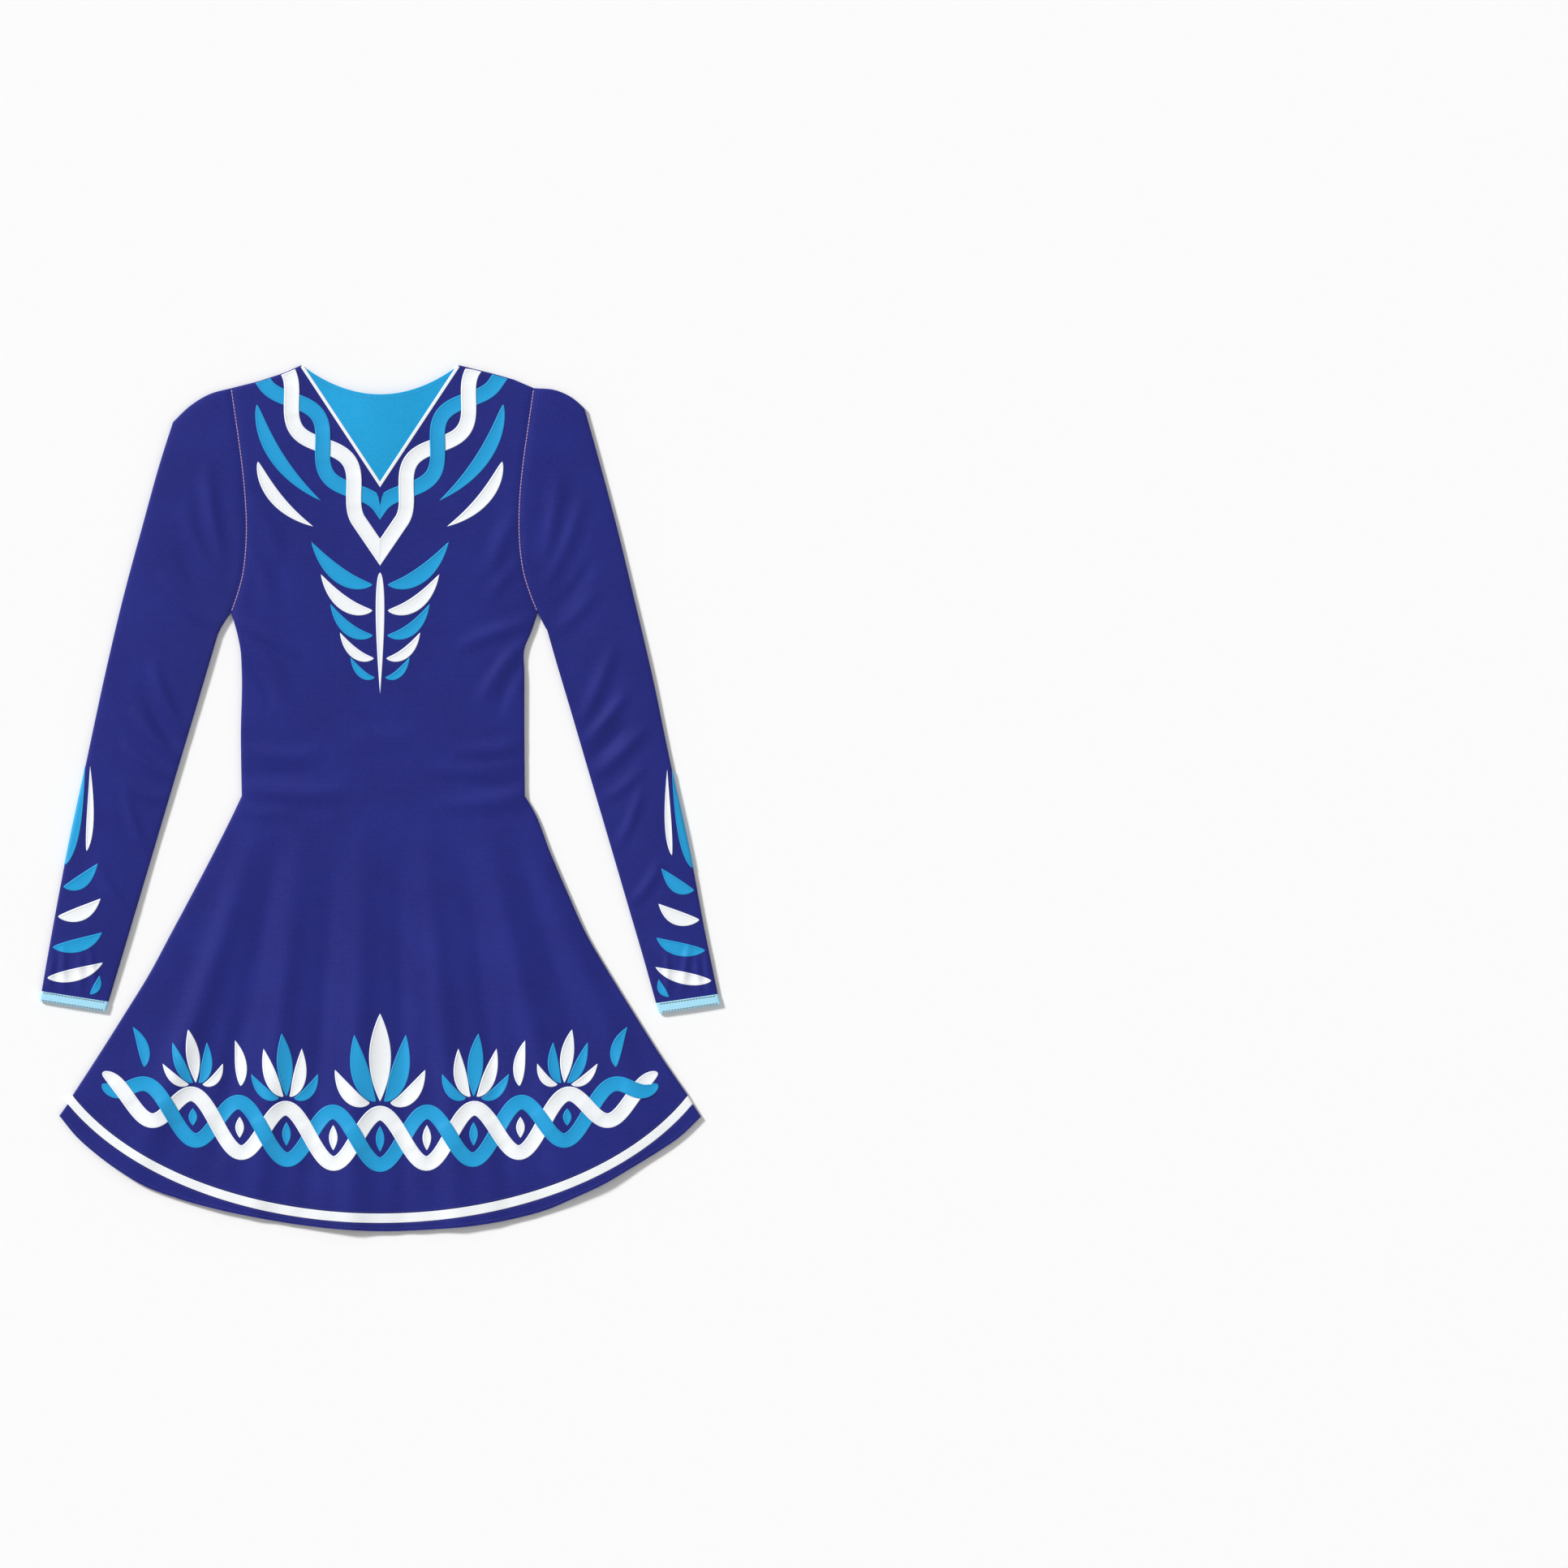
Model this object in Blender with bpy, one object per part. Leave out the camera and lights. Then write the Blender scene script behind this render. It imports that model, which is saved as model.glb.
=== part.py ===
"""A long-sleeved dance dress laid flat on its back, its panels lying on each other.

X runs across the dress, Y from the hem to the neck, and Z up from the surface that it lies on.
Sizes are in millimetres until a mesh is made. Heights count up from the lowest point of the hem.
"""

import math
from typing import NamedTuple

import bmesh
import bpy
import numpy as np

MM = 0.001
DRESS_COLLECTION = "dance_dress"
CUTTER_COLLECTION = "cutters"

# The cloth and its seams
CLOTH = 1.2  # thickness of one layer
SEAM_GAP = 0.3  # space left between two pieces at a seam
CUFF_CLOTH = 1.6  # the cuff's elastic is thicker than the dress fabric

# The dress as a whole
LENGTH = 907.0  # from the hem's lowest point to the neck points
NECK_HALF_WIDTH = 82.5
NECK_DEPTH = 30.5
YOKE_TIP_HEIGHT = 782.0
EDGE_THICKNESS = 2 * CLOTH + SEAM_GAP  # two layers at a seam

# How the upper layer lies over the lower one
ROLL_RADIUS = 5.0  # from a seam, the upper layer rises over this distance
ROLL_RISE = 1.0
LOFT_RISE = 1.6  # further rise towards the middle of a panel
LOFT_REACH = 25.0
OPEN_EDGE_REACH = 40.0  # hem and neck edges lie lower, over this distance
OPEN_EDGE_SHARE = 0.3
ARMHOLE_DITCH = 0.8
ARMHOLE_DITCH_REACH = 4.0

# How finely the pieces are divided
HALF_SHOULDER_COLUMNS = 6  # from the armhole to the neck, and from there to the middle
YOKE_COLUMNS = 18
YOKE_ROWS = 8
HEM_COLUMNS = 33
CHAIN_ROWS = 16
MIDDLE_COLUMNS = 9  # across a sleeve, between its folds
FOLD_PLACES = np.array([0.0, 0.35, 1.3, 5.0])  # distances from a sleeve's fold

# The zip in the back neck
ZIP_TOP_HEIGHT = 862.0
ZIP_LENGTH = 154.0
ZIP_WIDTH = 8.0
ZIP_THICKNESS = 1.6
SLIDER_LENGTH = 9.0
SLIDER_WIDTH = 7.2
SLIDER_TAPER = 1.4  # the slider is this much narrower at its lower end
SLIDER_THICKNESS = 2.4
SLIDER_UNDERSIDE = 2.9  # height of the slider's outer face above the surface
SLIDER_ROUNDING = 0.5
SLIDER_LIFT = 3.3  # the slider and its tab hold the back up by this much
LIFT_REACH_ACROSS = 40.0
LIFT_REACH_ALONG = 60.0
LEAST_LIFT = 0.02  # where the back is lifted less than this, it lies flat
BRIDGE_LENGTH = 6.0  # the slider's bridge, which the pull tab hangs on
BRIDGE_WIDTH = 1.8
BRIDGE_DEPTH = 2.6
BRIDGE_WINDOW = 4.2
BRIDGE_BAR = 0.8
BRIDGE_ROUNDING = 0.2
TAB_LENGTH = 22.0
TAB_WIDTH = 5.0
TAB_THICKNESS = 1.2
TAB_EYE_LENGTH = 4.0
TAB_EYE_WIDTH = 2.6
TAB_AXIS_HEIGHT = 2.0
TAB_TIP_HEIGHT = 0.8  # middle of the tab's thickness at its tip
TAB_ROUNDING = 0.35
TAB_GRIP_START = 2.4  # the slot in the tab's grip, counted from its tip
TAB_GRIP_LENGTH = 6.6


class SideRow(NamedTuple):
    """Where the two side edges lie at one height."""

    height: float
    left: float
    right: float


class SleeveRow(NamedTuple):
    """The ends of one section across a sleeve, at its outer fold and its underarm seam."""

    outer_x: float
    outer_height: float
    inner_x: float
    inner_height: float


class Arc(NamedTuple):
    """A shallow arc that is an ellipse's lower end: its lowest height, half axes and end."""

    lowest: float
    half_width: float
    rise: float
    end_x: float

    def height(self, x):
        return self.lowest + self.rise * (1 - np.sqrt(1 - (x / self.half_width) ** 2))


class Ripple(NamedTuple):
    """A soft fold of the skirt: its place and width as shares of the half width, and its rise."""

    place: float
    width: float
    rise: float


SKIRT_ROWS = (
    SideRow(185, -294.5, 293),
    SideRow(227, -268, 266.5),
    SideRow(270, -241.5, 240),
    SideRow(312, -219, 215.5),
    SideRow(355, -196, 196),
    SideRow(397, -174, 178),
    SideRow(440, -152.5, 161),
    SideRow(456, -145, 151.5),
)
BODICE_ROWS = (
    SideRow(520, -146, 151),
    SideRow(585, -145, 151),
    SideRow(610, -146.5, 151),
    SideRow(627, -150, 158),
    SideRow(648, -156, 165),
)
ARMHOLE_ROWS = (
    SideRow(668, -149, 157),
    SideRow(687, -144, 151),
    SideRow(711, -141, 147),
    SideRow(740, -140, 145.5),
    SideRow(771, -141.5, 146.5),
    SideRow(806, -145, 150),
    SideRow(842, -150, 155),
    SideRow(883, -156, 161),
)
HEM_EDGE = (
    (-336, 121), (-318, 99), (-299, 82), (-276, 65), (-248, 48), (-211, 34), (-171, 23), (-128, 14),
    (-79, 6), (-40, 1.8), (0, 0), (50, 1.6), (101, 6), (142, 13.5), (176, 23), (205, 35.5),
    (232, 48), (262, 65.5), (289, 82), (314, 99), (336, 120),
)  # fmt: skip
LEFT_SHOULDER = ((-156, 883), (-128, 890), (-102, 898.5), (-NECK_HALF_WIDTH, LENGTH))
RIGHT_SHOULDER = ((NECK_HALF_WIDTH, LENGTH), (117, 898.5), (140, 892), (161, 883))
STRIPE_LOWER_EDGE = Arc(8.5, 368, 230, 327.3)
STRIPE_UPPER_EDGE = Arc(18.7, 358, 219, 322.2)
LEFT_SLEEVE_ROWS = (
    SleeveRow(-156, 883, -156, 648),
    SleeveRow(-178, 877, -161, 641),
    SleeveRow(-199, 864.5, -166, 633),
    SleeveRow(-217, 847.5, -170, 625),
    SleeveRow(-228, 813.5, -178, 598),
    SleeveRow(-249.5, 737, -194, 544),
    SleeveRow(-270, 660.5, -209, 494),
    SleeveRow(-288, 584, -225, 440),
    SleeveRow(-309, 486, -242.5, 381),
    SleeveRow(-328, 397, -258, 329),
    SleeveRow(-344, 312, -273, 278.5),
    SleeveRow(-354.6, 251.5, -284.5, 240.5),
    SleeveRow(-356.6, 241, -287.7, 230),
)
RIGHT_SLEEVE_ROWS = (
    SleeveRow(161, 883, 165, 648),
    SleeveRow(183, 881, 168, 642),
    SleeveRow(201, 873, 171, 636),
    SleeveRow(214, 861.5, 175, 629),
    SleeveRow(227.5, 813.5, 184, 597.5),
    SleeveRow(248, 737, 199.5, 545.5),
    SleeveRow(266.5, 660.5, 214, 496),
    SleeveRow(284.5, 584, 229.5, 443.5),
    SleeveRow(304, 490.5, 247, 384),
    SleeveRow(324.5, 397, 262.5, 331),
    SleeveRow(340.5, 312, 277, 281.5),
    SleeveRow(353.6, 248.5, 288.8, 239),
    SleeveRow(356.6, 238, 292, 228),
)
SKIRT_RIPPLES = (
    Ripple(-0.74, 0.09, 2.3),
    Ripple(-0.40, 0.07, 1.5),
    Ripple(-0.12, 0.10, 2.1),
    Ripple(0.27, 0.08, 1.7),
    Ripple(0.61, 0.10, 2.5),
)
RIPPLE_TOP_HEIGHT = 430.0
HEM_FLARE = 0.65  # each side seam's run outwards for its fall, at the hem

NAVY = (0.022, 0.027, 0.212)
SKY = (0.016, 0.352, 0.701)
WHITE = (0.90, 0.92, 0.93)
PALE_BLUE = (0.386, 0.738, 0.965)
CHARCOAL = (0.051, 0.060, 0.061)


def fabric(name, colour, roughness):
    """A dull cloth of one colour."""
    return finish(name, colour, roughness, metallic=0.0)


def finish(name, colour, roughness, metallic):
    """A Principled BSDF of one colour."""
    material = bpy.data.materials.new(name)
    material.use_nodes = True
    shader = material.node_tree.nodes["Principled BSDF"]
    shader.inputs["Base Color"].default_value = (*colour, 1.0)
    shader.inputs["Roughness"].default_value = roughness
    shader.inputs["Metallic"].default_value = metallic
    return material


def resample(points, share):
    """Points of a polyline at the given shares of its length."""
    points = np.asarray(points, float)
    steps = np.linalg.norm(np.diff(points, axis=0), axis=1)
    along = np.concatenate([[0.0], np.cumsum(steps)]) / steps.sum()
    return np.stack([np.interp(share, along, points[:, k]) for k in range(2)], axis=-1)


def side_points(rows, side):
    return [(getattr(row, side), row.height) for row in rows]


def neck_edge(x):
    """Height of the scooped neck edge, a parabola between the neck points."""
    return LENGTH - NECK_DEPTH * (1 - (x / NECK_HALF_WIDTH) ** 2)


def side_edge(side):
    """The panel's edge from the stripe up the side seam and round the armhole to the shoulder."""
    sign = -1 if side == "left" else 1
    start = (sign * STRIPE_UPPER_EDGE.end_x, STRIPE_UPPER_EDGE.height(STRIPE_UPPER_EDGE.end_x))
    return [start, *side_points(SKIRT_ROWS + BODICE_ROWS + ARMHOLE_ROWS, side)]


def side_seam(side):
    """The side seam alone, from the hem's corner to the underarm."""
    corner = HEM_EDGE[0] if side == "left" else HEM_EDGE[-1]
    return [corner, *side_points(SKIRT_ROWS + BODICE_ROWS, side)]


def armhole(side):
    """The armhole seam from the shoulder down to the underarm."""
    return side_points((BODICE_ROWS[-1],) + ARMHOLE_ROWS, side)[::-1]


def sleeve_edge(rows, edge):
    return [(getattr(row, edge + "_x"), getattr(row, edge + "_height")) for row in rows]


def cuff_edge(rows):
    """The sleeve's open end, from its outer fold to its underarm seam."""
    return [sleeve_edge(rows, "outer")[-1], sleeve_edge(rows, "inner")[-1]]


def distance(plan, lines):
    """Distance in the plane from each point to the nearest of several polylines."""
    flat = plan.reshape(-1, 2)
    nearest = np.full(len(flat), np.inf)
    for line in lines:
        line = np.asarray(line, float)
        for start, end in zip(line[:-1], line[1:]):
            run = end - start
            share = np.clip((flat - start) @ run / (run @ run), 0, 1)
            nearest = np.minimum(nearest, np.linalg.norm(flat - start - share[:, None] * run, axis=1))
    return nearest.reshape(plan.shape[:-1])


CLOSED_EDGES = (
    side_seam("left"),
    side_seam("right"),
    LEFT_SHOULDER,
    RIGHT_SHOULDER,
    sleeve_edge(LEFT_SLEEVE_ROWS, "outer"),
    sleeve_edge(LEFT_SLEEVE_ROWS, "inner"),
    sleeve_edge(RIGHT_SLEEVE_ROWS, "outer"),
    sleeve_edge(RIGHT_SLEEVE_ROWS, "inner"),
)
NECK_LINE = [(x, neck_edge(x)) for x in np.linspace(-NECK_HALF_WIDTH, NECK_HALF_WIDTH, 13)]
OPEN_EDGES = (HEM_EDGE, NECK_LINE, cuff_edge(LEFT_SLEEVE_ROWS), cuff_edge(RIGHT_SLEEVE_ROWS))
ARMHOLES = (armhole("left"), armhole("right"))


def rounded(share):
    """A quarter circle's rise from 0 to 1 over a share from 0 to 1."""
    return np.sqrt(1 - (1 - np.clip(share, 0, 1)) ** 2)


def underside(plan):
    """Height of the lower layer's outer face: flat on the surface, and lifted over the slider."""
    across = plan[..., 0] / LIFT_REACH_ACROSS
    along = (plan[..., 1] - ZIP_TOP_HEIGHT + SLIDER_LENGTH / 2) / LIFT_REACH_ALONG
    lift = SLIDER_LIFT * np.exp(-(across**2) - along**2)
    return np.where(lift < LEAST_LIFT, 0.0, lift)


def skirt_ripples(plan):
    """Rise of the skirt's soft folds, which widen and grow from the hip to the hem."""
    heights = [row.height for row in SKIRT_ROWS]
    half_width = np.interp(plan[..., 1], heights, [(row.right - row.left) / 2 for row in SKIRT_ROWS])
    half_width += np.clip(heights[0] - plan[..., 1], 0, None) * HEM_FLARE
    share = plan[..., 0] / half_width
    growth = np.clip(1 - plan[..., 1] / RIPPLE_TOP_HEIGHT, 0, 1)
    return growth * sum(r.rise * np.exp(-(((share - r.place) / r.width) ** 2)) for r in SKIRT_RIPPLES)


def topside(plan):
    """Height of the upper layer's outer face: low along seams, folds and open edges."""
    from_seam = distance(plan, CLOSED_EDGES)
    from_opening = distance(plan, OPEN_EDGES)
    rise = ROLL_RISE * rounded(from_seam / ROLL_RADIUS)
    rise += LOFT_RISE * (1 - np.exp(-from_seam / LOFT_REACH))
    rise *= 1 - (1 - OPEN_EDGE_SHARE) * np.exp(-from_opening / OPEN_EDGE_REACH)
    ditch = ARMHOLE_DITCH * np.exp(-((distance(plan, ARMHOLES) / ARMHOLE_DITCH_REACH) ** 2))
    rise = np.maximum(rise - ditch, 0)
    return EDGE_THICKNESS + rise + skirt_ripples(plan) + underside(plan)


def patch(bottom, top, left, right):
    """A grid that fills four edges, each an array of points, by transfinite interpolation.

    bottom and top run from left to right and left and right from bottom to top.
    """
    u = ((bottom[:, 0] - bottom[0, 0]) / (bottom[-1, 0] - bottom[0, 0]))[None, :, None]
    rise = np.concatenate([[0.0], np.cumsum(np.linalg.norm(np.diff(left, axis=0), axis=1))])
    v = (rise / rise[-1])[:, None, None]
    corners = (1 - v) * ((1 - u) * bottom[0] + u * bottom[-1]) + v * ((1 - u) * top[0] + u * top[-1])
    return (1 - v) * bottom[None] + v * top[None] + (1 - u) * left[:, None] + u * right[:, None] - corners


def across(start, end, shares):
    """Places from start to end at the given shares of the way."""
    return start + (end - start) * np.asarray(shares)


def column_shares():
    """Shares across the main panel, with a column at each neck point and at the yoke's tip."""
    left, right = ARMHOLE_ROWS[-1].left, ARMHOLE_ROWS[-1].right
    marks = [0.0] + [(x - left) / (right - left) for x in (-NECK_HALF_WIDTH, 0, NECK_HALF_WIDTH)] + [1.0]
    spans = [np.linspace(a, b, HALF_SHOULDER_COLUMNS, endpoint=False) for a, b in zip(marks[:-1], marks[1:])]
    return np.concatenate([*spans, [1.0]])


def yoke_line(x):
    """Height of the seam between the yoke and the panel, two straight lines to the yoke's tip."""
    return YOKE_TIP_HEIGHT + (LENGTH - YOKE_TIP_HEIGHT) * np.abs(x) / NECK_HALF_WIDTH


def main_panel_plan():
    """The panel from the stripe to the shoulders, with the yoke's notch."""
    shares = column_shares()
    left, right = (np.asarray(side_edge(side), float) for side in ("left", "right"))
    x = across(left[-1][0], right[-1][0], shares)
    shoulder = np.asarray(LEFT_SHOULDER + RIGHT_SHOULDER, float)
    height = np.where(np.abs(x) < NECK_HALF_WIDTH, yoke_line(x), np.interp(x, shoulder[:, 0], shoulder[:, 1]))
    foot_x = across(left[0][0], right[0][0], shares)
    foot = np.stack([foot_x, STRIPE_UPPER_EDGE.height(foot_x) + SEAM_GAP], axis=-1)
    left[0, 1] += SEAM_GAP
    right[0, 1] += SEAM_GAP
    return patch(foot, np.stack([x, height], axis=-1), left, right)


def yoke_plan():
    """The yoke: straight lines from its tip fan out to the neck edge."""
    half_angle = math.atan(NECK_HALF_WIDTH / (LENGTH - YOKE_TIP_HEIGHT))
    tip = np.array([0.0, YOKE_TIP_HEIGHT + SEAM_GAP / math.sin(half_angle)])
    half_width = NECK_HALF_WIDTH - SEAM_GAP / math.cos(half_angle)
    x = np.linspace(-half_width, half_width, YOKE_COLUMNS + 1)
    neck = np.stack([x, neck_edge(x)], axis=-1)
    share = np.linspace(1, 0, YOKE_ROWS)[:, None, None]
    return neck * (1 - share) + tip * share


def band_plan(lower, upper):
    """A strip between a lower and an upper edge, one cell high."""
    shares = np.linspace(0, 1, HEM_COLUMNS)
    return np.stack([resample(lower, shares), resample(upper, shares)])


def arc_points(arc, shift):
    """Points along one edge of the hem stripe, shifted up by a seam's gap."""
    x = np.linspace(-arc.end_x, arc.end_x, 2 * HEM_COLUMNS)
    return np.stack([x, arc.height(x) + shift], axis=-1)


def stripe_plan():
    """The hem stripe, between the panel and the hem border."""
    return band_plan(arc_points(STRIPE_LOWER_EDGE, SEAM_GAP), arc_points(STRIPE_UPPER_EDGE, -SEAM_GAP))


def hem_border_plan():
    """The border between the stripe and the hem's edge."""
    return band_plan(HEM_EDGE, arc_points(STRIPE_LOWER_EDGE, -SEAM_GAP))


def to_metres(plan, heights):
    """Points in metres, centred on the middle of the dress's length."""
    centred = np.stack([plan[..., 0], plan[..., 1] - LENGTH / 2, heights], axis=-1)
    return centred * MM


def object_from(bm, name, material, parent):
    """An object made from a bmesh, which is freed."""
    mesh = bpy.data.meshes.new(name)
    bm.to_mesh(mesh)
    bm.free()
    return new_object(name, mesh, material, parent)


def new_object(name, mesh, material, parent):
    made = bpy.data.objects.new(name, mesh)
    made.data.materials.append(material)
    bpy.data.collections[DRESS_COLLECTION].objects.link(made)
    made.parent = parent
    return made


def cloth_panel(name, plan, layer, material, parent, thickness=CLOTH):
    """A wall of cloth over a plan grid: the outer face first, then the other face below or above it."""
    heights = topside(plan) if layer == "front" else underside(plan)
    inwards = -thickness if layer == "front" else thickness
    rows, columns = heights.shape
    bm = bmesh.new()
    bmesh.ops.create_grid(bm, x_segments=columns - 1, y_segments=rows - 1, size=1.0)
    bm.verts.ensure_lookup_table()
    for vertex, place in zip(bm.verts, to_metres(plan, heights).reshape(-1, 3)):
        vertex.co = place
    bmesh.ops.remove_doubles(bm, verts=bm.verts, dist=0.01 * MM)
    copied = bmesh.ops.extrude_face_region(bm, geom=bm.faces[:])["geom"]
    inner = [item for item in copied if isinstance(item, bmesh.types.BMVert)]
    bmesh.ops.translate(bm, verts=inner, vec=(0, 0, inwards * MM))
    bmesh.ops.recalc_face_normals(bm, faces=bm.faces)
    return object_from(bm, name, material, parent)


def places_across(lengths, inset):
    """Places across each section of a flattened tube: close together at both folds, even between."""
    places = []
    for length in lengths:
        room = length - 2 * inset
        even = room * np.linspace(0, 1, MIDDLE_COLUMNS + 2)[1:-1]
        places.append(np.concatenate([FOLD_PLACES, even, room - FOLD_PLACES[::-1]]) + inset)
    return np.array(places)


def tube_plan(outer, inner, start, shares):
    """Plan points of a sleeve between its outer fold and underarm seam, one row for each section.

    The first row follows the start edge, and its bend fades out along the sleeve.
    """
    middle = (outer + inner) / 2
    steps = np.concatenate([[0.0], np.cumsum(np.linalg.norm(np.diff(middle, axis=0), axis=1))])
    fade = 1 - (steps / steps[-1])[:, None, None]
    u = shares[..., None]
    bend = np.stack([resample(start, share) for share in shares]) - ((1 - u) * outer[0] + u * inner[0])
    return (1 - u) * outer[:, None] + u * inner[:, None] + fade * bend


def tube_ring(plan, places, thickness, depth, roll):
    """Points round a flattened tube, over its upper side and back under its lower side.

    depth is how far the ring lies inside the outer face, and roll how far its folds are round.
    """
    middle = thickness + SEAM_GAP / 2
    from_fold = np.minimum(places - places[:, :1], places[:, -1:] - places)
    swell = rounded(from_fold / roll)
    crown = topside(plan) + 2 * (thickness - CLOTH) - depth
    upper = to_metres(plan, middle + (crown - middle) * swell)
    lower = to_metres(plan, middle - (middle - depth) * swell)
    return np.concatenate([upper, lower[:, -2:0:-1]], axis=1)


def flat_tube(name, rows, start, thickness, material, parent):
    """A flattened tube of cloth, open at both ends: a loft through rings of unlike sections."""
    outer_edge = np.asarray(sleeve_edge(rows, "outer"), float)
    inner_edge = np.asarray(sleeve_edge(rows, "inner"), float)
    lengths = np.linalg.norm(outer_edge - inner_edge, axis=1)
    rings = []
    for depth, roll in ((0.0, thickness + SEAM_GAP / 2), (thickness, SEAM_GAP)):
        places = places_across(lengths, depth)
        plan = tube_plan(outer_edge, inner_edge, start, places / lengths[:, None])
        rings.append(tube_ring(plan, places, thickness, depth, roll))
    sections, around = rings[0].shape[:2]
    bm = bmesh.new()
    walls = [[[bm.verts.new(point) for point in section] for section in ring] for ring in rings]
    for wall in walls:
        for first, second in zip(wall[:-1], wall[1:]):
            join_loops(bm, first, second)
    for end in (0, sections - 1):
        join_loops(bm, walls[0][end], walls[1][end])
    bmesh.ops.recalc_face_normals(bm, faces=bm.faces)
    return object_from(bm, name, material, parent)


def join_loops(bm, first, second):
    """Faces between two closed loops of as many points."""
    for place in range(len(first)):
        after = (place + 1) % len(first)
        bm.faces.new((first[place], first[after], second[after], second[place]))


def sleeve_pieces(side, rows, parent):
    """One sleeve as a flattened tube, and the band of elastic that ends it."""
    shift = -SEAM_GAP if side == "left" else SEAM_GAP
    top = rows[0]._replace(outer_x=rows[0].outer_x + shift, inner_x=rows[0].inner_x + shift)
    seam = [(x + shift, height) for x, height in armhole(side)]
    navy = fabric(f"{side} sleeve navy", NAVY, 0.7)
    flat_tube(f"{side}_sleeve", (top, *rows[1:-1]), seam, CLOTH, navy, parent)

    before, end = np.array(rows[-2]), np.array(rows[-1])
    run = np.linalg.norm((end - before)[:2])
    band = SleeveRow(*(before + (end - before) * SEAM_GAP / run))
    elastic = fabric(f"{side} cuff elastic", PALE_BLUE, 0.55)
    flat_tube(f"{side}_cuff_band", (band, rows[-1]), cuff_edge((band,)), CUFF_CLOTH, elastic, parent)


def box(name, low, high, bevel=0.0):
    """A box mesh in millimetres from its corners, its edges rounded with two segments."""
    bm = bmesh.new()
    bmesh.ops.create_cube(bm, size=1.0)
    size = [b - a for a, b in zip(low, high)]
    middle = [(a + b) / 2 for a, b in zip(low, high)]
    bmesh.ops.scale(bm, verts=bm.verts, vec=[s * MM for s in size])
    bmesh.ops.translate(bm, verts=bm.verts, vec=[m * MM for m in middle])
    if bevel:
        bmesh.ops.bevel(bm, geom=bm.edges[:], offset=bevel * MM, segments=2, affect="EDGES", profile=0.5)
    mesh = bpy.data.meshes.new(name)
    bm.to_mesh(mesh)
    bm.free()
    return mesh


def cutter(name, mesh, location=(0, 0, 0)):
    """A hidden helper for a Boolean."""
    made = bpy.data.objects.new(name, mesh)
    made.location = location
    made.hide_render = True
    made.display_type = "WIRE"
    bpy.data.collections[CUTTER_COLLECTION].objects.link(made)
    return made


def combine(target, other, operation):
    modifier = target.modifiers.new(operation.lower() + "_" + other.name, "BOOLEAN")
    modifier.operation = operation
    modifier.solver = "EXACT"
    modifier.object = other


def zip_chain(parent):
    """The closed chain with the edges of its tape, which follows the back's underside."""
    head = ZIP_TOP_HEIGHT - SLIDER_LENGTH - SEAM_GAP
    foot = ZIP_TOP_HEIGHT - ZIP_LENGTH
    across_zip = np.linspace(-ZIP_WIDTH / 2, ZIP_WIDTH / 2, 3)
    plan = np.stack(np.meshgrid(across_zip, np.linspace(foot, head, CHAIN_ROWS)), axis=-1)
    cloth_panel("zip_chain", plan, "back", fabric("zip tape", CHARCOAL, 0.6), parent, ZIP_THICKNESS)


def zip_slider(parent):
    """The slider at the zip's top: a body that narrows downwards, and the bridge for its tab."""
    half = SLIDER_WIDTH / 2
    low = (-half, -SLIDER_LENGTH / 2, SLIDER_UNDERSIDE)
    high = (half, SLIDER_LENGTH / 2, SLIDER_UNDERSIDE + SLIDER_THICKNESS)
    mesh = box("zip_slider", low, high, SLIDER_ROUNDING)
    for vertex in mesh.vertices:
        if vertex.co.y < 0:
            vertex.co.x *= 1 - SLIDER_TAPER / SLIDER_WIDTH
    slider = new_object("zip_slider", mesh, finish("slider enamel", CHARCOAL, 0.35, 0.6), parent)
    slider.location.y = (ZIP_TOP_HEIGHT - SLIDER_LENGTH / 2 - LENGTH / 2) * MM

    foot = SLIDER_UNDERSIDE - BRIDGE_DEPTH
    root = SLIDER_UNDERSIDE + SLIDER_ROUNDING
    bridge_low = (-BRIDGE_WIDTH / 2, -BRIDGE_LENGTH / 2, foot)
    bridge = box("bridge", bridge_low, (BRIDGE_WIDTH / 2, BRIDGE_LENGTH / 2, root), BRIDGE_ROUNDING)
    window_low = (-BRIDGE_WIDTH, -BRIDGE_WINDOW / 2, foot + BRIDGE_BAR)
    window = box("window", window_low, (BRIDGE_WIDTH, BRIDGE_WINDOW / 2, SLIDER_UNDERSIDE))
    combine(slider, cutter("slider_bridge", bridge, slider.location), "UNION")
    combine(slider, cutter("bridge_window", window, slider.location), "DIFFERENCE")
    return slider


def zip_pull_tab(place, parent):
    """The pull tab, which hangs on the bridge by the bar of its eye and lies towards the hem."""
    pivot = bpy.data.objects.new("pull_tab_pivot", None)
    bpy.data.collections[DRESS_COLLECTION].objects.link(pivot)
    pivot.parent = parent
    pivot.location = (0, place, TAB_AXIS_HEIGHT * MM)
    pivot.rotation_euler.x = math.asin((TAB_AXIS_HEIGHT - TAB_TIP_HEIGHT) / TAB_LENGTH)

    bar = TAB_THICKNESS / 2
    half, half_eye = TAB_WIDTH / 2, TAB_EYE_WIDTH / 2
    mesh = box("zip_pull_tab", (-half, -TAB_LENGTH, -bar), (half, bar, bar), TAB_ROUNDING)
    tab = new_object("zip_pull_tab", mesh, finish("pull tab enamel", CHARCOAL, 0.35, 0.6), pivot)
    for name, near, far in (
        ("tab_eye", -bar, -TAB_EYE_LENGTH),
        ("tab_grip", -TAB_LENGTH + TAB_GRIP_START + TAB_GRIP_LENGTH, -TAB_LENGTH + TAB_GRIP_START),
    ):
        hole = cutter(name, box(name, (-half_eye, far, -TAB_WIDTH), (half_eye, near, TAB_WIDTH)))
        hole.parent = pivot
        combine(tab, hole, "DIFFERENCE")


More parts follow.
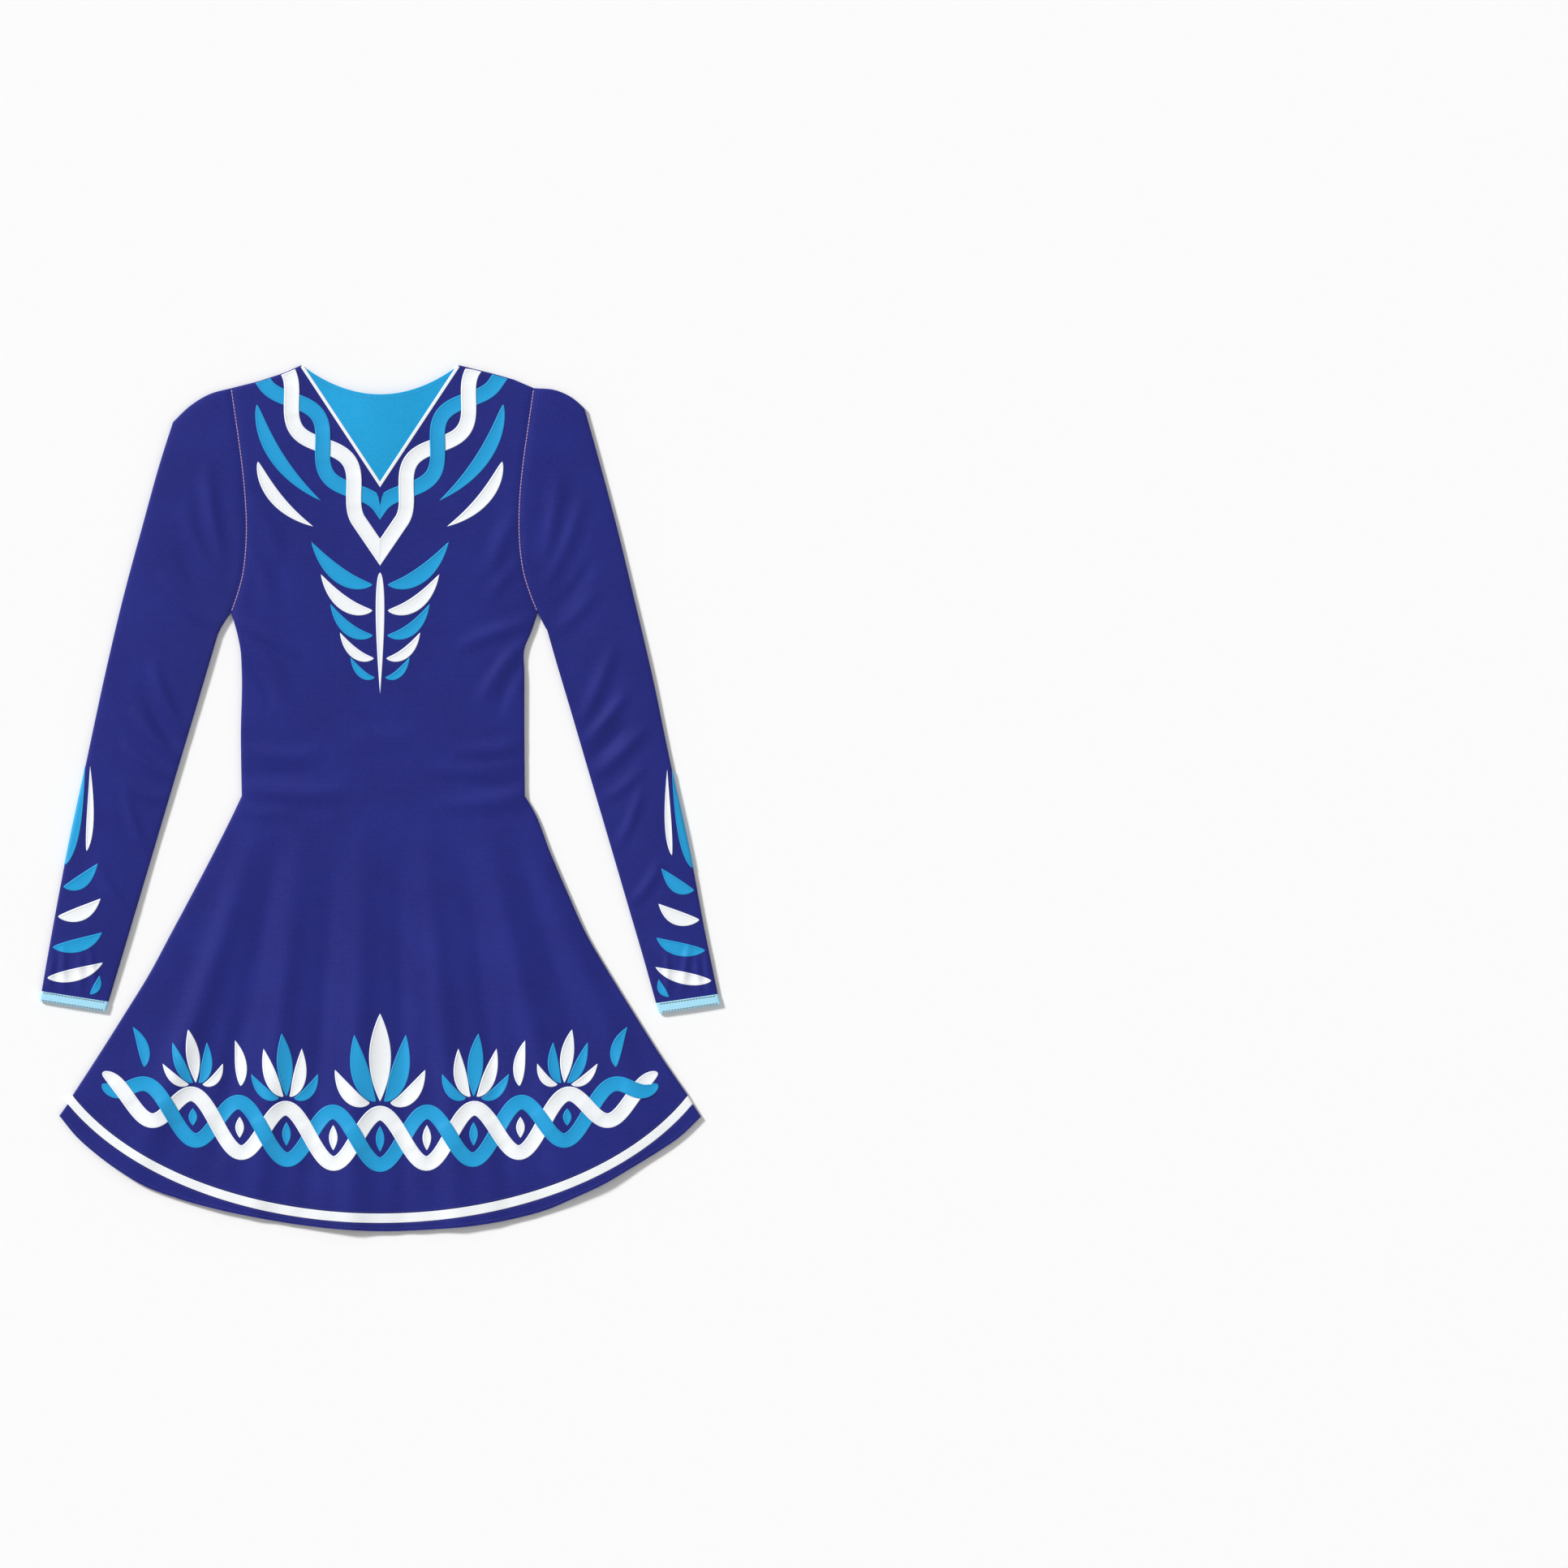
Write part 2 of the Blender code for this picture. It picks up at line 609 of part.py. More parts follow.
def zip_slot():
    """The opening in the back yoke and back panel that the zip is sewn into."""
    half = ZIP_WIDTH / 2 + SEAM_GAP
    foot = ZIP_TOP_HEIGHT - ZIP_LENGTH - SEAM_GAP - LENGTH / 2
    head = ZIP_TOP_HEIGHT + SEAM_GAP - LENGTH / 2
    return cutter("zip_slot", box("zip_slot", (-half, foot, -ZIP_WIDTH), (half, head, ZIP_WIDTH)))


def clear_scene():
    """Removes what the scene starts with."""
    for item in list(bpy.data.objects):
        bpy.data.objects.remove(item)


def build():
    """Makes the dress: front, back, sleeves, cuffs and zip."""
    clear_scene()
    for name in (DRESS_COLLECTION, CUTTER_COLLECTION):
        bpy.context.scene.collection.children.link(bpy.data.collections.new(name))
    bpy.data.collections[CUTTER_COLLECTION].hide_render = True
    dress = bpy.data.objects.new("dress_root", None)
    bpy.data.collections[DRESS_COLLECTION].objects.link(dress)

    slot = zip_slot()
    pieces = (
        ("panel", main_panel_plan(), NAVY),
        ("yoke", yoke_plan(), SKY),
        ("hem_stripe", stripe_plan(), WHITE),
        ("hem_border", hem_border_plan(), NAVY),
    )
    for layer in ("front", "back"):
        for piece, plan, colour in pieces:
            name = f"{layer}_{piece}"
            made = cloth_panel(name, plan, layer, fabric(name + " cloth", colour, 0.7), dress)
            if layer == "back" and piece in ("panel", "yoke"):
                combine(made, slot, "DIFFERENCE")
    for side, rows in (("left", LEFT_SLEEVE_ROWS), ("right", RIGHT_SLEEVE_ROWS)):
        sleeve_pieces(side, rows, dress)
    zip_chain(dress)
    slider = zip_slider(dress)
    zip_pull_tab(slider.location.y, dress)


build()
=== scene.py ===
"""The looks of a long-sleeved stretch dance dress that lies flat on its back.

Lengths are in millimetres until a mesh is made. A plan point is (x, height): x runs across the dress, and
height counts up from the hem's lowest point towards the neck, as a maker would measure it. z counts up
from the surface that the dress lies on. The front is the upper layer and the back the lower one.
"""

import logging
from dataclasses import dataclass
from enum import Enum
from functools import partial
from typing import Callable, NamedTuple

import bpy
import numpy as np
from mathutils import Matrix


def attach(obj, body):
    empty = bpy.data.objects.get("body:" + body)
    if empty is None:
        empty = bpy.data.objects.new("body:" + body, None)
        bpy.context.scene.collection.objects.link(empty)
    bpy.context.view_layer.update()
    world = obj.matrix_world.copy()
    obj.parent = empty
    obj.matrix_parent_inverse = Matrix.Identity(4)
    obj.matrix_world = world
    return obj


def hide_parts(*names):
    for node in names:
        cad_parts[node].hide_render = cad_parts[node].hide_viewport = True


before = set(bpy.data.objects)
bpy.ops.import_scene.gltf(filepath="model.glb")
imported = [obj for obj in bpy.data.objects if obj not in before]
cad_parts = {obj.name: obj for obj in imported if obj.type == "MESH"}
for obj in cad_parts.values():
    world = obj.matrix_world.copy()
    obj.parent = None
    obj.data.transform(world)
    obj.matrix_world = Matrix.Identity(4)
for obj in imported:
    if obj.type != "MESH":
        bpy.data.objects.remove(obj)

Array = np.ndarray
Point = tuple[float, float]
Mapping = Callable[[Array], Array]
Object = bpy.types.Object
Node = bpy.types.Node
Put = Callable[..., Node]
log = logging.getLogger("dance_dress")

MM = 0.001
MIDDLE_HEIGHT = 453.5  # the height that the frame's origin lies at
DRESS = "dress"  # the body that the cloth rides on


class Layer(Enum):
    """The two layers of the flattened dress."""

    FRONT = "front"
    BACK = "back"


class Side(Enum):
    """The two sides of the dress as the camera sees them, with the sign of x there."""

    LEFT = -1
    RIGHT = 1


class SideRow(NamedTuple):
    """Where the body's two side edges lie at one height."""

    height: float
    left: float
    right: float


class SleeveRow(NamedTuple):
    """The ends of one section across a sleeve, at its outer fold and its underarm seam."""

    outer_x: float
    outer_height: float
    inner_x: float
    inner_height: float


def side_rows(*rows: tuple[float, float, float]) -> tuple[SideRow, ...]:
    """Side rows from their height, left and right."""
    return tuple(SideRow(*row) for row in rows)


def sections(*rows: tuple[float, float, float, float]) -> tuple[SleeveRow, ...]:
    """Sleeve rows from their outer and inner ends."""
    return tuple(SleeveRow(*row) for row in rows)


class Arc(NamedTuple):
    """A shallow arc that is an ellipse's lower end: its lowest height, half axes and end."""

    lowest: float
    half_width: float
    rise: float
    end_x: float

    def height(self, x: Array) -> Array:
        """Lowest height plus the rise of an ellipse's lower half at x."""
        return self.lowest + self.rise * (1 - np.sqrt(1 - (x / self.half_width) ** 2))


class Ripple(NamedTuple):
    """A soft fold of the skirt: its place and width as shares of the half width, and its rise."""

    place: float
    width: float
    rise: float


# Curves and grids in the plan


def rounded(share: Array) -> Array:
    """A quarter circle's rise from 0 to 1, the square root of 1 - (1 - share) squared."""
    return np.sqrt(1 - (1 - np.clip(share, 0, 1)) ** 2)


def smooth(share: Array) -> Array:
    """A rise from 0 to 1 that is level at both ends, 3 s squared - 2 s cubed."""
    s = np.clip(share, 0, 1)
    return s * s * (3 - 2 * s)


def run_lengths(points: Array) -> Array:
    """Length along a polyline, or down each column of a grid, from its first point."""
    steps = np.linalg.norm(np.diff(points, axis=0), axis=-1)
    return np.concatenate([np.zeros((1,) + steps.shape[1:]), np.cumsum(steps, axis=0)])


def unit(vectors: Array) -> Array:
    """The vectors at length 1."""
    return vectors / np.linalg.norm(vectors, axis=-1, keepdims=True)


def read_along(pairs: Array, lengths: Array, at: Array) -> Array:
    """Pairs that are held along a line, read by straight steps at lengths along it."""
    return np.stack([np.interp(at, lengths, pairs[:, k]) for k in range(2)], axis=-1)


def at_height(plan: Array, height: Array) -> Array:
    """Plan points with their height as the third coordinate."""
    return np.concatenate([plan, height[..., None]], axis=-1)


def spline(points: Array, share: Array) -> Array:
    """A smooth curve through points, read at shares of its chord length.

    Each stretch is the cubic whose slopes at its ends are the mean slopes of the stretches that meet there.

    Args:
        points: the points that the curve passes through.
        share: places along the curve, from 0 to 1.

    Returns:
        One point for each share.
    """
    points = np.asarray(points, float)
    knots = run_lengths(points)
    slopes = np.gradient(points, knots, axis=0)
    at = np.clip(share, 0, 1) * knots[-1]
    i = np.clip(np.searchsorted(knots, at, side="right") - 1, 0, len(knots) - 2)
    step = (knots[i + 1] - knots[i])[:, None]
    u = (at - knots[i])[:, None] / step
    near = (1 + 2 * u) * (1 - u) ** 2 * points[i] + u * (1 - u) ** 2 * step * slopes[i]
    far = u * u * (3 - 2 * u) * points[i + 1] + u * u * (u - 1) * step * slopes[i + 1]
    return near + far


def bow(start: Point, bend: Point, end: Point, count: int = 13) -> Array:
    """A curve from start to end that leans towards bend: (1-t)^2 start + 2t(1-t) bend + t^2 end."""
    t = np.linspace(0, 1, count)[:, None]
    start, bend, end = (np.asarray(p, float) for p in (start, bend, end))
    return (1 - t) ** 2 * start + 2 * t * (1 - t) * bend + t * t * end


def nearest(plan: Array, line: Array) -> tuple[Array, Array]:
    """Distance from each plan point to a polyline, and how far along the line its nearest point is.

    Args:
        plan: points, one a row.
        line: the polyline's points.

    Returns:
        The distances, and the places along the line as shares of its length.
    """
    starts, runs = line[:-1], np.diff(line, axis=0)
    offset = plan[:, None] - starts[None]
    share = np.clip((offset * runs).sum(-1) / (runs * runs).sum(-1), 0, 1)
    gaps = np.linalg.norm(offset - share[..., None] * runs, axis=-1)
    best = gaps.argmin(axis=1)
    row = np.arange(len(plan))
    along = run_lengths(line)
    place = along[best] + share[row, best] * (along[best + 1] - along[best])
    return gaps[row, best], place / along[-1]


def distance(plan: Array, lines: list[Array]) -> Array:
    """Distance from each plan point to the nearest of several polylines."""
    flat = plan.reshape(-1, 2)
    closest = np.min([nearest(flat, line)[0] for line in lines], axis=0)
    return closest.reshape(plan.shape[:-1])


EDGE_STEPS = np.array([0.0, 0.12, 0.3, 0.55, 0.9, 1.4, 2.2, 3.6, 6.0])  # places in from an edge


def graded(length: float, count: int, near: bool = True, far: bool = True) -> Array:
    """Shares of a length, evenly spaced, and close together by the ends that are edges.

    Args:
        length: the length in millimetres.
        count: the number of even steps.
        near: whether the start is an edge.
        far: whether the end is an edge.

    Returns:
        The shares, from 0 to 1.
    """
    steps = EDGE_STEPS * min(1.0, length / (3 * EDGE_STEPS[-1]))
    start = steps[-1] if near else 0.0
    end = length - (steps[-1] if far else 0.0)
    parts = [steps[:-1]] if near else []
    parts.append(np.linspace(start, end, count + 1))
    if far:
        parts.append(length - steps[-2::-1])
    return np.concatenate(parts) / length


def patch(bottom: Array, top: Array, left: Array, right: Array) -> Array:
    """A grid that fills four edges by transfinite interpolation.

    Each point is the blend between left and right plus the blend between bottom and top, less the blend of
    the four corners. bottom and top run from left to right, left and right from bottom to top.
    """
    u = ((bottom[:, 0] - bottom[0, 0]) / (bottom[-1, 0] - bottom[0, 0]))[None, :, None]
    rise = run_lengths(left)
    v = (rise / rise[-1])[:, None, None]
    corners = (1 - v) * ((1 - u) * bottom[0] + u * bottom[-1]) + v * ((1 - u) * top[0] + u * top[-1])
    return (1 - v) * bottom[None] + v * top[None] + (1 - u) * left[:, None] + u * right[:, None] - corners


# The outline, which repeats the solids' own sizes


@dataclass(frozen=True)
class Cut:
    """The dress's outline as it lies."""

    length: float = 907.0
    neck_half_width: float = 82.5
    neck_depth: float = 30.5
    yoke_tip: float = 782.0
    skirt: tuple[SideRow, ...] = side_rows(
        (185, -294.5, 293), (227, -268, 266.5), (270, -241.5, 240), (312, -219, 215.5),
        (355, -196, 196), (397, -174, 178), (440, -152.5, 161), (456, -145, 151.5),
    )
    bodice: tuple[SideRow, ...] = side_rows(
        (520, -146, 151), (585, -145, 151), (610, -146.5, 151), (627, -150, 158), (648, -156, 165),
    )
    armholes: tuple[SideRow, ...] = side_rows(
        (668, -149, 157), (687, -144, 151), (711, -141, 147), (740, -140, 145.5),
        (771, -141.5, 146.5), (806, -145, 150), (842, -150, 155), (883, -156, 161),
    )
    hem: tuple[Point, ...] = (
        (-336, 121), (-318, 99), (-299, 82), (-276, 65), (-248, 48), (-211, 34), (-171, 23), (-128, 14),
        (-79, 6), (-40, 1.8), (0, 0), (50, 1.6), (101, 6), (142, 13.5), (176, 23), (205, 35.5),
        (232, 48), (262, 65.5), (289, 82), (314, 99), (336, 120),
    )
    left_shoulder: tuple[Point, ...] = ((-156, 883), (-128, 890), (-102, 898.5), (-82.5, 907))
    right_shoulder: tuple[Point, ...] = ((82.5, 907), (117, 898.5), (140, 892), (161, 883))
    stripe_lower: Arc = Arc(8.5, 368, 230, 327.3)
    stripe_upper: Arc = Arc(18.7, 358, 219, 322.2)
    left_sleeve: tuple[SleeveRow, ...] = sections(
        (-156, 883, -156, 648), (-178, 877, -161, 641), (-199, 864.5, -166, 633), (-217, 847.5, -170, 625),
        (-228, 813.5, -178, 598), (-249.5, 737, -194, 544), (-270, 660.5, -209, 494), (-288, 584, -225, 440),
        (-309, 486, -242.5, 381), (-328, 397, -258, 329), (-344, 312, -273, 278.5),
        (-354.6, 251.5, -284.5, 240.5), (-356.6, 241, -287.7, 230),
    )
    right_sleeve: tuple[SleeveRow, ...] = sections(
        (161, 883, 165, 648), (183, 881, 168, 642), (201, 873, 171, 636), (214, 861.5, 175, 629),
        (227.5, 813.5, 184, 597.5), (248, 737, 199.5, 545.5), (266.5, 660.5, 214, 496),
        (284.5, 584, 229.5, 443.5), (304, 490.5, 247, 384), (324.5, 397, 262.5, 331),
        (340.5, 312, 277, 281.5), (353.6, 248.5, 288.8, 239), (356.6, 238, 292, 228),
    )
    cap_rows: int = 4  # the sleeve rows from the armhole round the cap to its corner
    cuff_row: int = 11  # the sleeve row that the cuff band starts at

    def side(self, rows: tuple[SideRow, ...], side: Side) -> Array:
        """The points of one side edge."""
        return np.array([(getattr(r, side.name.lower()), r.height) for r in rows], float)

    def neck(self, x: Array) -> Array:
        """Height of the scooped neck edge, a parabola between the neck points."""
        return self.length - self.neck_depth * (1 - (x / self.neck_half_width) ** 2)

    def yoke_line(self, x: Array) -> Array:
        """Height of the seam round the yoke, two straight lines to its tip."""
        return self.yoke_tip + (self.length - self.yoke_tip) * np.abs(x) / self.neck_half_width

    def underarm_seam(self, side: Side) -> Array:
        """The body's side seam from the hem's corner up to the underarm."""
        corner = self.hem[0] if side is Side.LEFT else self.hem[-1]
        return np.concatenate([[corner], self.side(self.skirt + self.bodice, side)])

    def armhole(self, side: Side) -> Array:
        """The armhole seam from the shoulder down to the underarm."""
        return self.side(self.bodice[-1:] + self.armholes, side)[::-1]

    def shoulder_line(self, x: Array) -> Array:
        """Height of the two shoulder seams at x."""
        points = np.array(self.left_shoulder + self.right_shoulder, float)
        return np.interp(x, points[:, 0], points[:, 1])

    def sleeve_rows(self, side: Side) -> Array:
        """One sleeve's rows as an array."""
        return np.array(self.left_sleeve if side is Side.LEFT else self.right_sleeve, float)

    def sleeve_edges(self, side: Side, shares: Array, first: int, last: int) -> tuple[Array, Array]:
        """A sleeve's outer fold and underarm seam, smooth between two of its rows.

        Args:
            side: which sleeve.
            shares: places along the stretch.
            first: the row that the stretch starts at.
            last: the row that it ends at.

        Returns:
            The points of the outer fold and of the underarm seam.
        """
        rows = self.sleeve_rows(side)[first : last + 1]
        return spline(rows[:, :2], shares), spline(rows[:, 2:], shares)


# How the dress lies


TROUGH_SHARE = 0.22  # depth of the trough beside a ridge, as a share of its rise
TROUGH_PLACE = 2.1  # how many widths from the ridge it lies
CREASE_REACH = 4  # widths past which a crease is left out
CREASE_FADE = 0.8


@dataclass(frozen=True)
class Crease:
    """A soft ridge of the cloth, or a trough where its rise is below 0, along a bowed line."""

    start: Point
    bend: Point
    end: Point
    width: float
    rise: float

    def relief(self, plan: Array) -> Array:
        """Height that the crease adds at each plan point.

        Across the line it is rise times exp(-(d / width)^2), less a shallow trough on both sides, and along
        it the height fades out at both ends as sin(pi share)^0.8.
        """
        flat = plan.reshape(-1, 2)
        line = bow(self.start, self.bend, self.end)
        reach = CREASE_REACH * self.width
        near = np.all((flat > line.min(0) - reach) & (flat < line.max(0) + reach), axis=1)
        height = np.zeros(len(flat))
        if near.any():
            gap, share = nearest(flat[near], line)
            q = gap / self.width
            bell = np.exp(-(q**2)) - TROUGH_SHARE * np.exp(-((q - TROUGH_PLACE) ** 2))
            height[near] = self.rise * bell * np.sin(np.pi * np.clip(share, 0, 1)) ** CREASE_FADE
        return height.reshape(plan.shape[:-1])


def creases(rows: tuple[tuple[float, ...], ...]) -> tuple[Crease, ...]:
    """Creases from rows of start x, start height, bend x, bend height, end x, end height, width, rise."""
    return tuple(Crease(r[0:2], r[2:4], r[4:6], r[6], r[7]) for r in rows)


FRONT_CREASES = creases((
    # Drag lines from the underarms
    (-152, 642, -122, 628, -84, 600, 6.0, 2.4),
    (-149, 626, -116, 604, -94, 560, 7.0, 1.6),
    (-146, 600, -122, 584, -112, 548, 5.0, -1.1),
    (161, 640, 124, 630, 78, 610, 6.5, 2.1),
    (154, 618, 122, 592, 104, 550, 6.0, 1.8),
    (151, 596, 130, 572, 122, 536, 5.0, -1.0),
    # Pulls towards the armholes and the bust
    (-138, 770, -116, 748, -104, 700, 8.0, 1.4),
    (-139, 716, -118, 690, -112, 650, 7.0, 1.3),
    (146, 756, 124, 726, 116, 684, 8.0, 1.6),
    (148, 704, 128, 682, 110, 660, 6.0, 1.1),
    # Folds across the waist
    (-147, 506, -104, 494, -58, 499, 6.5, 1.9),
    (-146, 484, -112, 474, -70, 480, 5.0, -1.3),
    (-146, 466, -96, 452, -26, 462, 7.5, 2.2),
    (-150, 444, -118, 434, -84, 440, 6.0, 1.3),
    (152, 512, 118, 500, 72, 503, 6.5, 1.8),
    (152, 490, 104, 478, 44, 486, 6.0, 1.6),
    (152, 470, 116, 462, 88, 466, 5.0, -1.3),
    (156, 456, 110, 444, 58, 450, 8.0, 2.1),
    (-30, 520, 2, 512, 38, 518, 9.0, 1.0),
    # The skirt's folds, which run down from the hip and on past the hem
    (-128, 428, -164, 300, -260, 40, 12.0, 3.0),
    (-104, 416, -128, 290, -184, 30, 9.0, -1.8),
    (-80, 432, -96, 280, -140, -60, 12.0, 2.6),
    (-48, 402, -58, 260, -84, -60, 9.0, -1.6),
    (-16, 430, -20, 250, -34, -90, 14.0, 3.0),
    (18, 404, 24, 260, 26, -80, 9.0, -1.6),
    (46, 428, 62, 270, 88, -70, 12.0, 2.4),
    (84, 400, 108, 280, 142, -50, 9.0, -1.8),
    (108, 432, 140, 300, 200, 20, 13.0, 3.0),
    (140, 410, 178, 300, 246, 50, 9.0, -1.4),
    (148, 430, 196, 320, 296, 80, 10.0, 2.1),
))

LEFT_SLEEVE_CREASES = creases((
    # The shoulder cap
    (-161, 690, -178, 738, -182, 806, 7.0, 2.1),
    (-158, 666, -188, 704, -208, 762, 7.5, 1.8),
    (-168, 650, -196, 670, -214, 716, 5.0, -1.1),
    (-167, 632, -200, 644, -232, 688, 6.0, 1.8),
    # The bend of the elbow
    (-203, 520, -226, 548, -240, 600, 6.0, 1.9),
    (-207, 506, -230, 526, -254, 572, 4.5, -1.3),
    (-211, 492, -232, 508, -262, 548, 6.0, 2.4),
    (-216, 474, -240, 482, -272, 512, 5.0, 1.9),
    (-222, 452, -246, 452, -274, 474, 5.0, 1.3),
    # The forearm and the gathers at the cuff
    (-240, 396, -258, 414, -268, 462, 5.0, 1.4),
    (-258, 334, -282, 348, -300, 390, 5.0, 1.3),
    (-296, 246, -299, 272, -306, 300, 3.0, 1.3),
    (-312, 248, -316, 268, -314, 292, 3.0, 1.0),
    (-330, 250, -333, 270, -331, 302, 3.2, 1.3),
    (-346, 254, -346, 268, -342, 288, 2.6, 0.8),
))

RIGHT_SLEEVE_CREASES = creases((
    (170, 694, 184, 736, 186, 796, 7.5, 1.9),
    (168, 668, 196, 708, 212, 772, 7.0, 1.9),
    (176, 648, 204, 664, 224, 706, 5.5, -1.1),
    (178, 626, 206, 640, 230, 676, 6.0, 1.4),
    (207, 528, 226, 560, 246, 616, 6.5, 1.8),
    (212, 508, 234, 530, 260, 566, 6.0, 2.4),
    (216, 492, 240, 508, 262, 536, 4.5, -1.3),
    (220, 476, 246, 490, 280, 530, 6.0, 2.1),
    (227, 450, 250, 456, 278, 488, 5.0, 1.3),
    (245, 398, 262, 420, 276, 470, 5.0, 1.3),
    (262, 342, 280, 356, 296, 392, 5.0, 1.4),
    (300, 246, 302, 268, 300, 298, 3.0, 1.1),
    (316, 248, 318, 270, 324, 304, 3.2, 1.3),
    (334, 249, 334, 268, 330, 288, 2.8, 1.0),
    (346, 250, 343, 270, 341, 296, 2.8, 1.0),
))

# On the side that it lies on, the cloth lifts off the surface along a few shallow hollows
UNDERSIDE_CREASES = creases((
    (-140, 640, -116, 612, -92, 570, 6.0, 1.5),
    (146, 636, 118, 606, 98, 574, 6.0, 1.4),
    (-136, 500, -96, 488, -48, 494, 6.5, 1.4),
    (-132, 462, -92, 450, -30, 458, 7.0, 1.7),
    (138, 506, 100, 494, 60, 499, 6.5, 1.4),
    (140, 460, 96, 448, 50, 455, 7.0, 1.5),
    (-124, 420, -160, 290, -226, 130, 11.0, 1.8),
    (-66, 424, -84, 270, -118, 60, 12.0, 1.5),
    (6, 418, 4, 250, -6, 40, 13.0, 1.8),
    (74, 420, 96, 270, 128, 56, 12.0, 1.5),
    (130, 424, 172, 290, 232, 128, 11.0, 1.8),
    (-170, 680, -190, 720, -200, 776, 7.0, 1.5),
    (-216, 500, -236, 520, -256, 556, 6.0, 1.7),
    (-224, 470, -244, 478, -266, 500, 5.0, 1.2),
    (-262, 350, -284, 366, -298, 400, 5.0, 1.0),
    (180, 682, 200, 724, 208, 780, 7.0, 1.5),
    (220, 500, 242, 524, 260, 552, 6.0, 1.7),
    (230, 466, 250, 476, 272, 506, 5.0, 1.2),
    (268, 354, 288, 370, 300, 402, 5.0, 1.0),
))


@dataclass(frozen=True)
class Form:
    """Heights of the dress's upper and lower faces: the solids' own form, with the creases on it."""

    cut: Cut = Cut()
    wall: float = 0.9  # thickness of the shown cloth, inside the solids' 1.2
    edge_thickness: float = 2.7  # the two layers at a seam
    roll_radius: float = 5.0
    roll_rise: float = 1.0
    loft_rise: float = 1.6
    loft_reach: float = 25.0
    open_edge_reach: float = 40.0
    open_edge_share: float = 0.3
    armhole_ditch: float = 0.8
    ditch_reach: float = 4.0
    slider_lift: float = 3.3
    lift_across: float = 40.0
    lift_along: float = 60.0
    lift_height: float = 857.5
    settled: float = 0.8  # creases are at full height where the loft is this share of the roll's rise
    deepest: float = 0.8  # a trough takes away at most this share of the loft
    ripple_top: float = 430.0
    hem_flare: float = 0.65
    ripples: tuple[Ripple, ...] = (
        Ripple(-0.74, 0.09, 2.3),
        Ripple(-0.40, 0.07, 1.5),
        Ripple(-0.12, 0.10, 2.1),
        Ripple(0.27, 0.08, 1.7),
        Ripple(0.61, 0.10, 2.5),
    )
    swells: tuple[tuple[float, float, float, float], ...] = (
        (0.031, 0.012, 0.3, 0.16),
        (-0.017, 0.027, 1.9, 0.20),
        (0.009, -0.041, 4.1, 0.14),
        (0.052, 0.036, 2.6, 0.08),
    )  # slow waves of the cloth: two rates in radians a millimetre, a phase and a rise
    upper: tuple[Crease, ...] = FRONT_CREASES + LEFT_SLEEVE_CREASES + RIGHT_SLEEVE_CREASES
    lower: tuple[Crease, ...] = UNDERSIDE_CREASES

    @property
    def middle(self) -> float:
        """Height between the two layers at a seam."""
        return self.edge_thickness / 2

    def closed_edges(self) -> list[Array]:
        """Seams and folds where the two layers meet."""
        cut = self.cut
        lines = [cut.underarm_seam(side) for side in Side]
        lines += [np.array(cut.left_shoulder, float), np.array(cut.right_shoulder, float)]
        for side in Side:
            rows = cut.sleeve_rows(side)
            lines += [rows[:, :2], rows[:, 2:]]
        return lines

    def open_edges(self) -> list[Array]:
        """Hem, neck and sleeve ends."""
        cut = self.cut
        x = np.linspace(-cut.neck_half_width, cut.neck_half_width, 13)
        neck = np.stack([x, cut.neck(x)], axis=-1)
        ends = [cut.sleeve_rows(side)[-1].reshape(2, 2) for side in Side]
        return [np.array(cut.hem, float), neck, *ends]

    def lift(self, plan: Array) -> Array:
        """How far the zip's slider holds the back up: a bell, exp(-across^2 - along^2)."""
        across = plan[..., 0] / self.lift_across
        along = (plan[..., 1] - self.lift_height) / self.lift_along
        return self.slider_lift * np.exp(-(across**2) - along**2)

    def skirt_ripples(self, plan: Array) -> Array:
        """Rise of the skirt's soft folds, bells in the share of the half width that grow to the hem."""
        rows = np.array(self.cut.skirt, float)
        half = np.interp(plan[..., 1], rows[:, 0], (rows[:, 2] - rows[:, 1]) / 2)
        half = half + np.clip(rows[0, 0] - plan[..., 1], 0, None) * self.hem_flare
        share = plan[..., 0] / half
        growth = np.clip(1 - plan[..., 1] / self.ripple_top, 0, 1)
        return growth * sum(r.rise * np.exp(-(((share - r.place) / r.width) ** 2)) for r in self.ripples)

    def loft(self, plan: Array) -> Array:
        """Rise from the seams to the middle: a quarter round, then 1 - exp(-d / reach)."""
        from_seam = distance(plan, self.closed_edges())
        from_opening = distance(plan, self.open_edges())
        rise = self.roll_rise * rounded(from_seam / self.roll_radius)
        rise += self.loft_rise * (1 - np.exp(-from_seam / self.loft_reach))
        return rise * (1 - (1 - self.open_edge_share) * np.exp(-from_opening / self.open_edge_reach))

    def top(self, plan: Array) -> Array:
        """Height of the upper layer's outer face.

        It is two layers' thickness, the loft less the armhole's ditch, the skirt's ripples, the lift over
        the slider, and the creases and slow waves, which die out by the seams as the loft does.
        """
        loft = self.loft(plan)
        room = smooth(loft / (self.roll_rise * self.settled))
        armholes = [self.cut.armhole(side) for side in Side]
        ditch = self.armhole_ditch * np.exp(-((distance(plan, armholes) / self.ditch_reach) ** 2))
        fine = sum(crease.relief(plan) for crease in self.upper)
        for across, along, phase, rise in self.swells:
            fine = fine + rise * np.sin(plan[..., 0] * across + plan[..., 1] * along + phase)
        body = np.maximum(loft - ditch, 0) + np.maximum(fine * room, -self.deepest * loft)
        return self.edge_thickness + body + self.skirt_ripples(plan) + self.lift(plan)

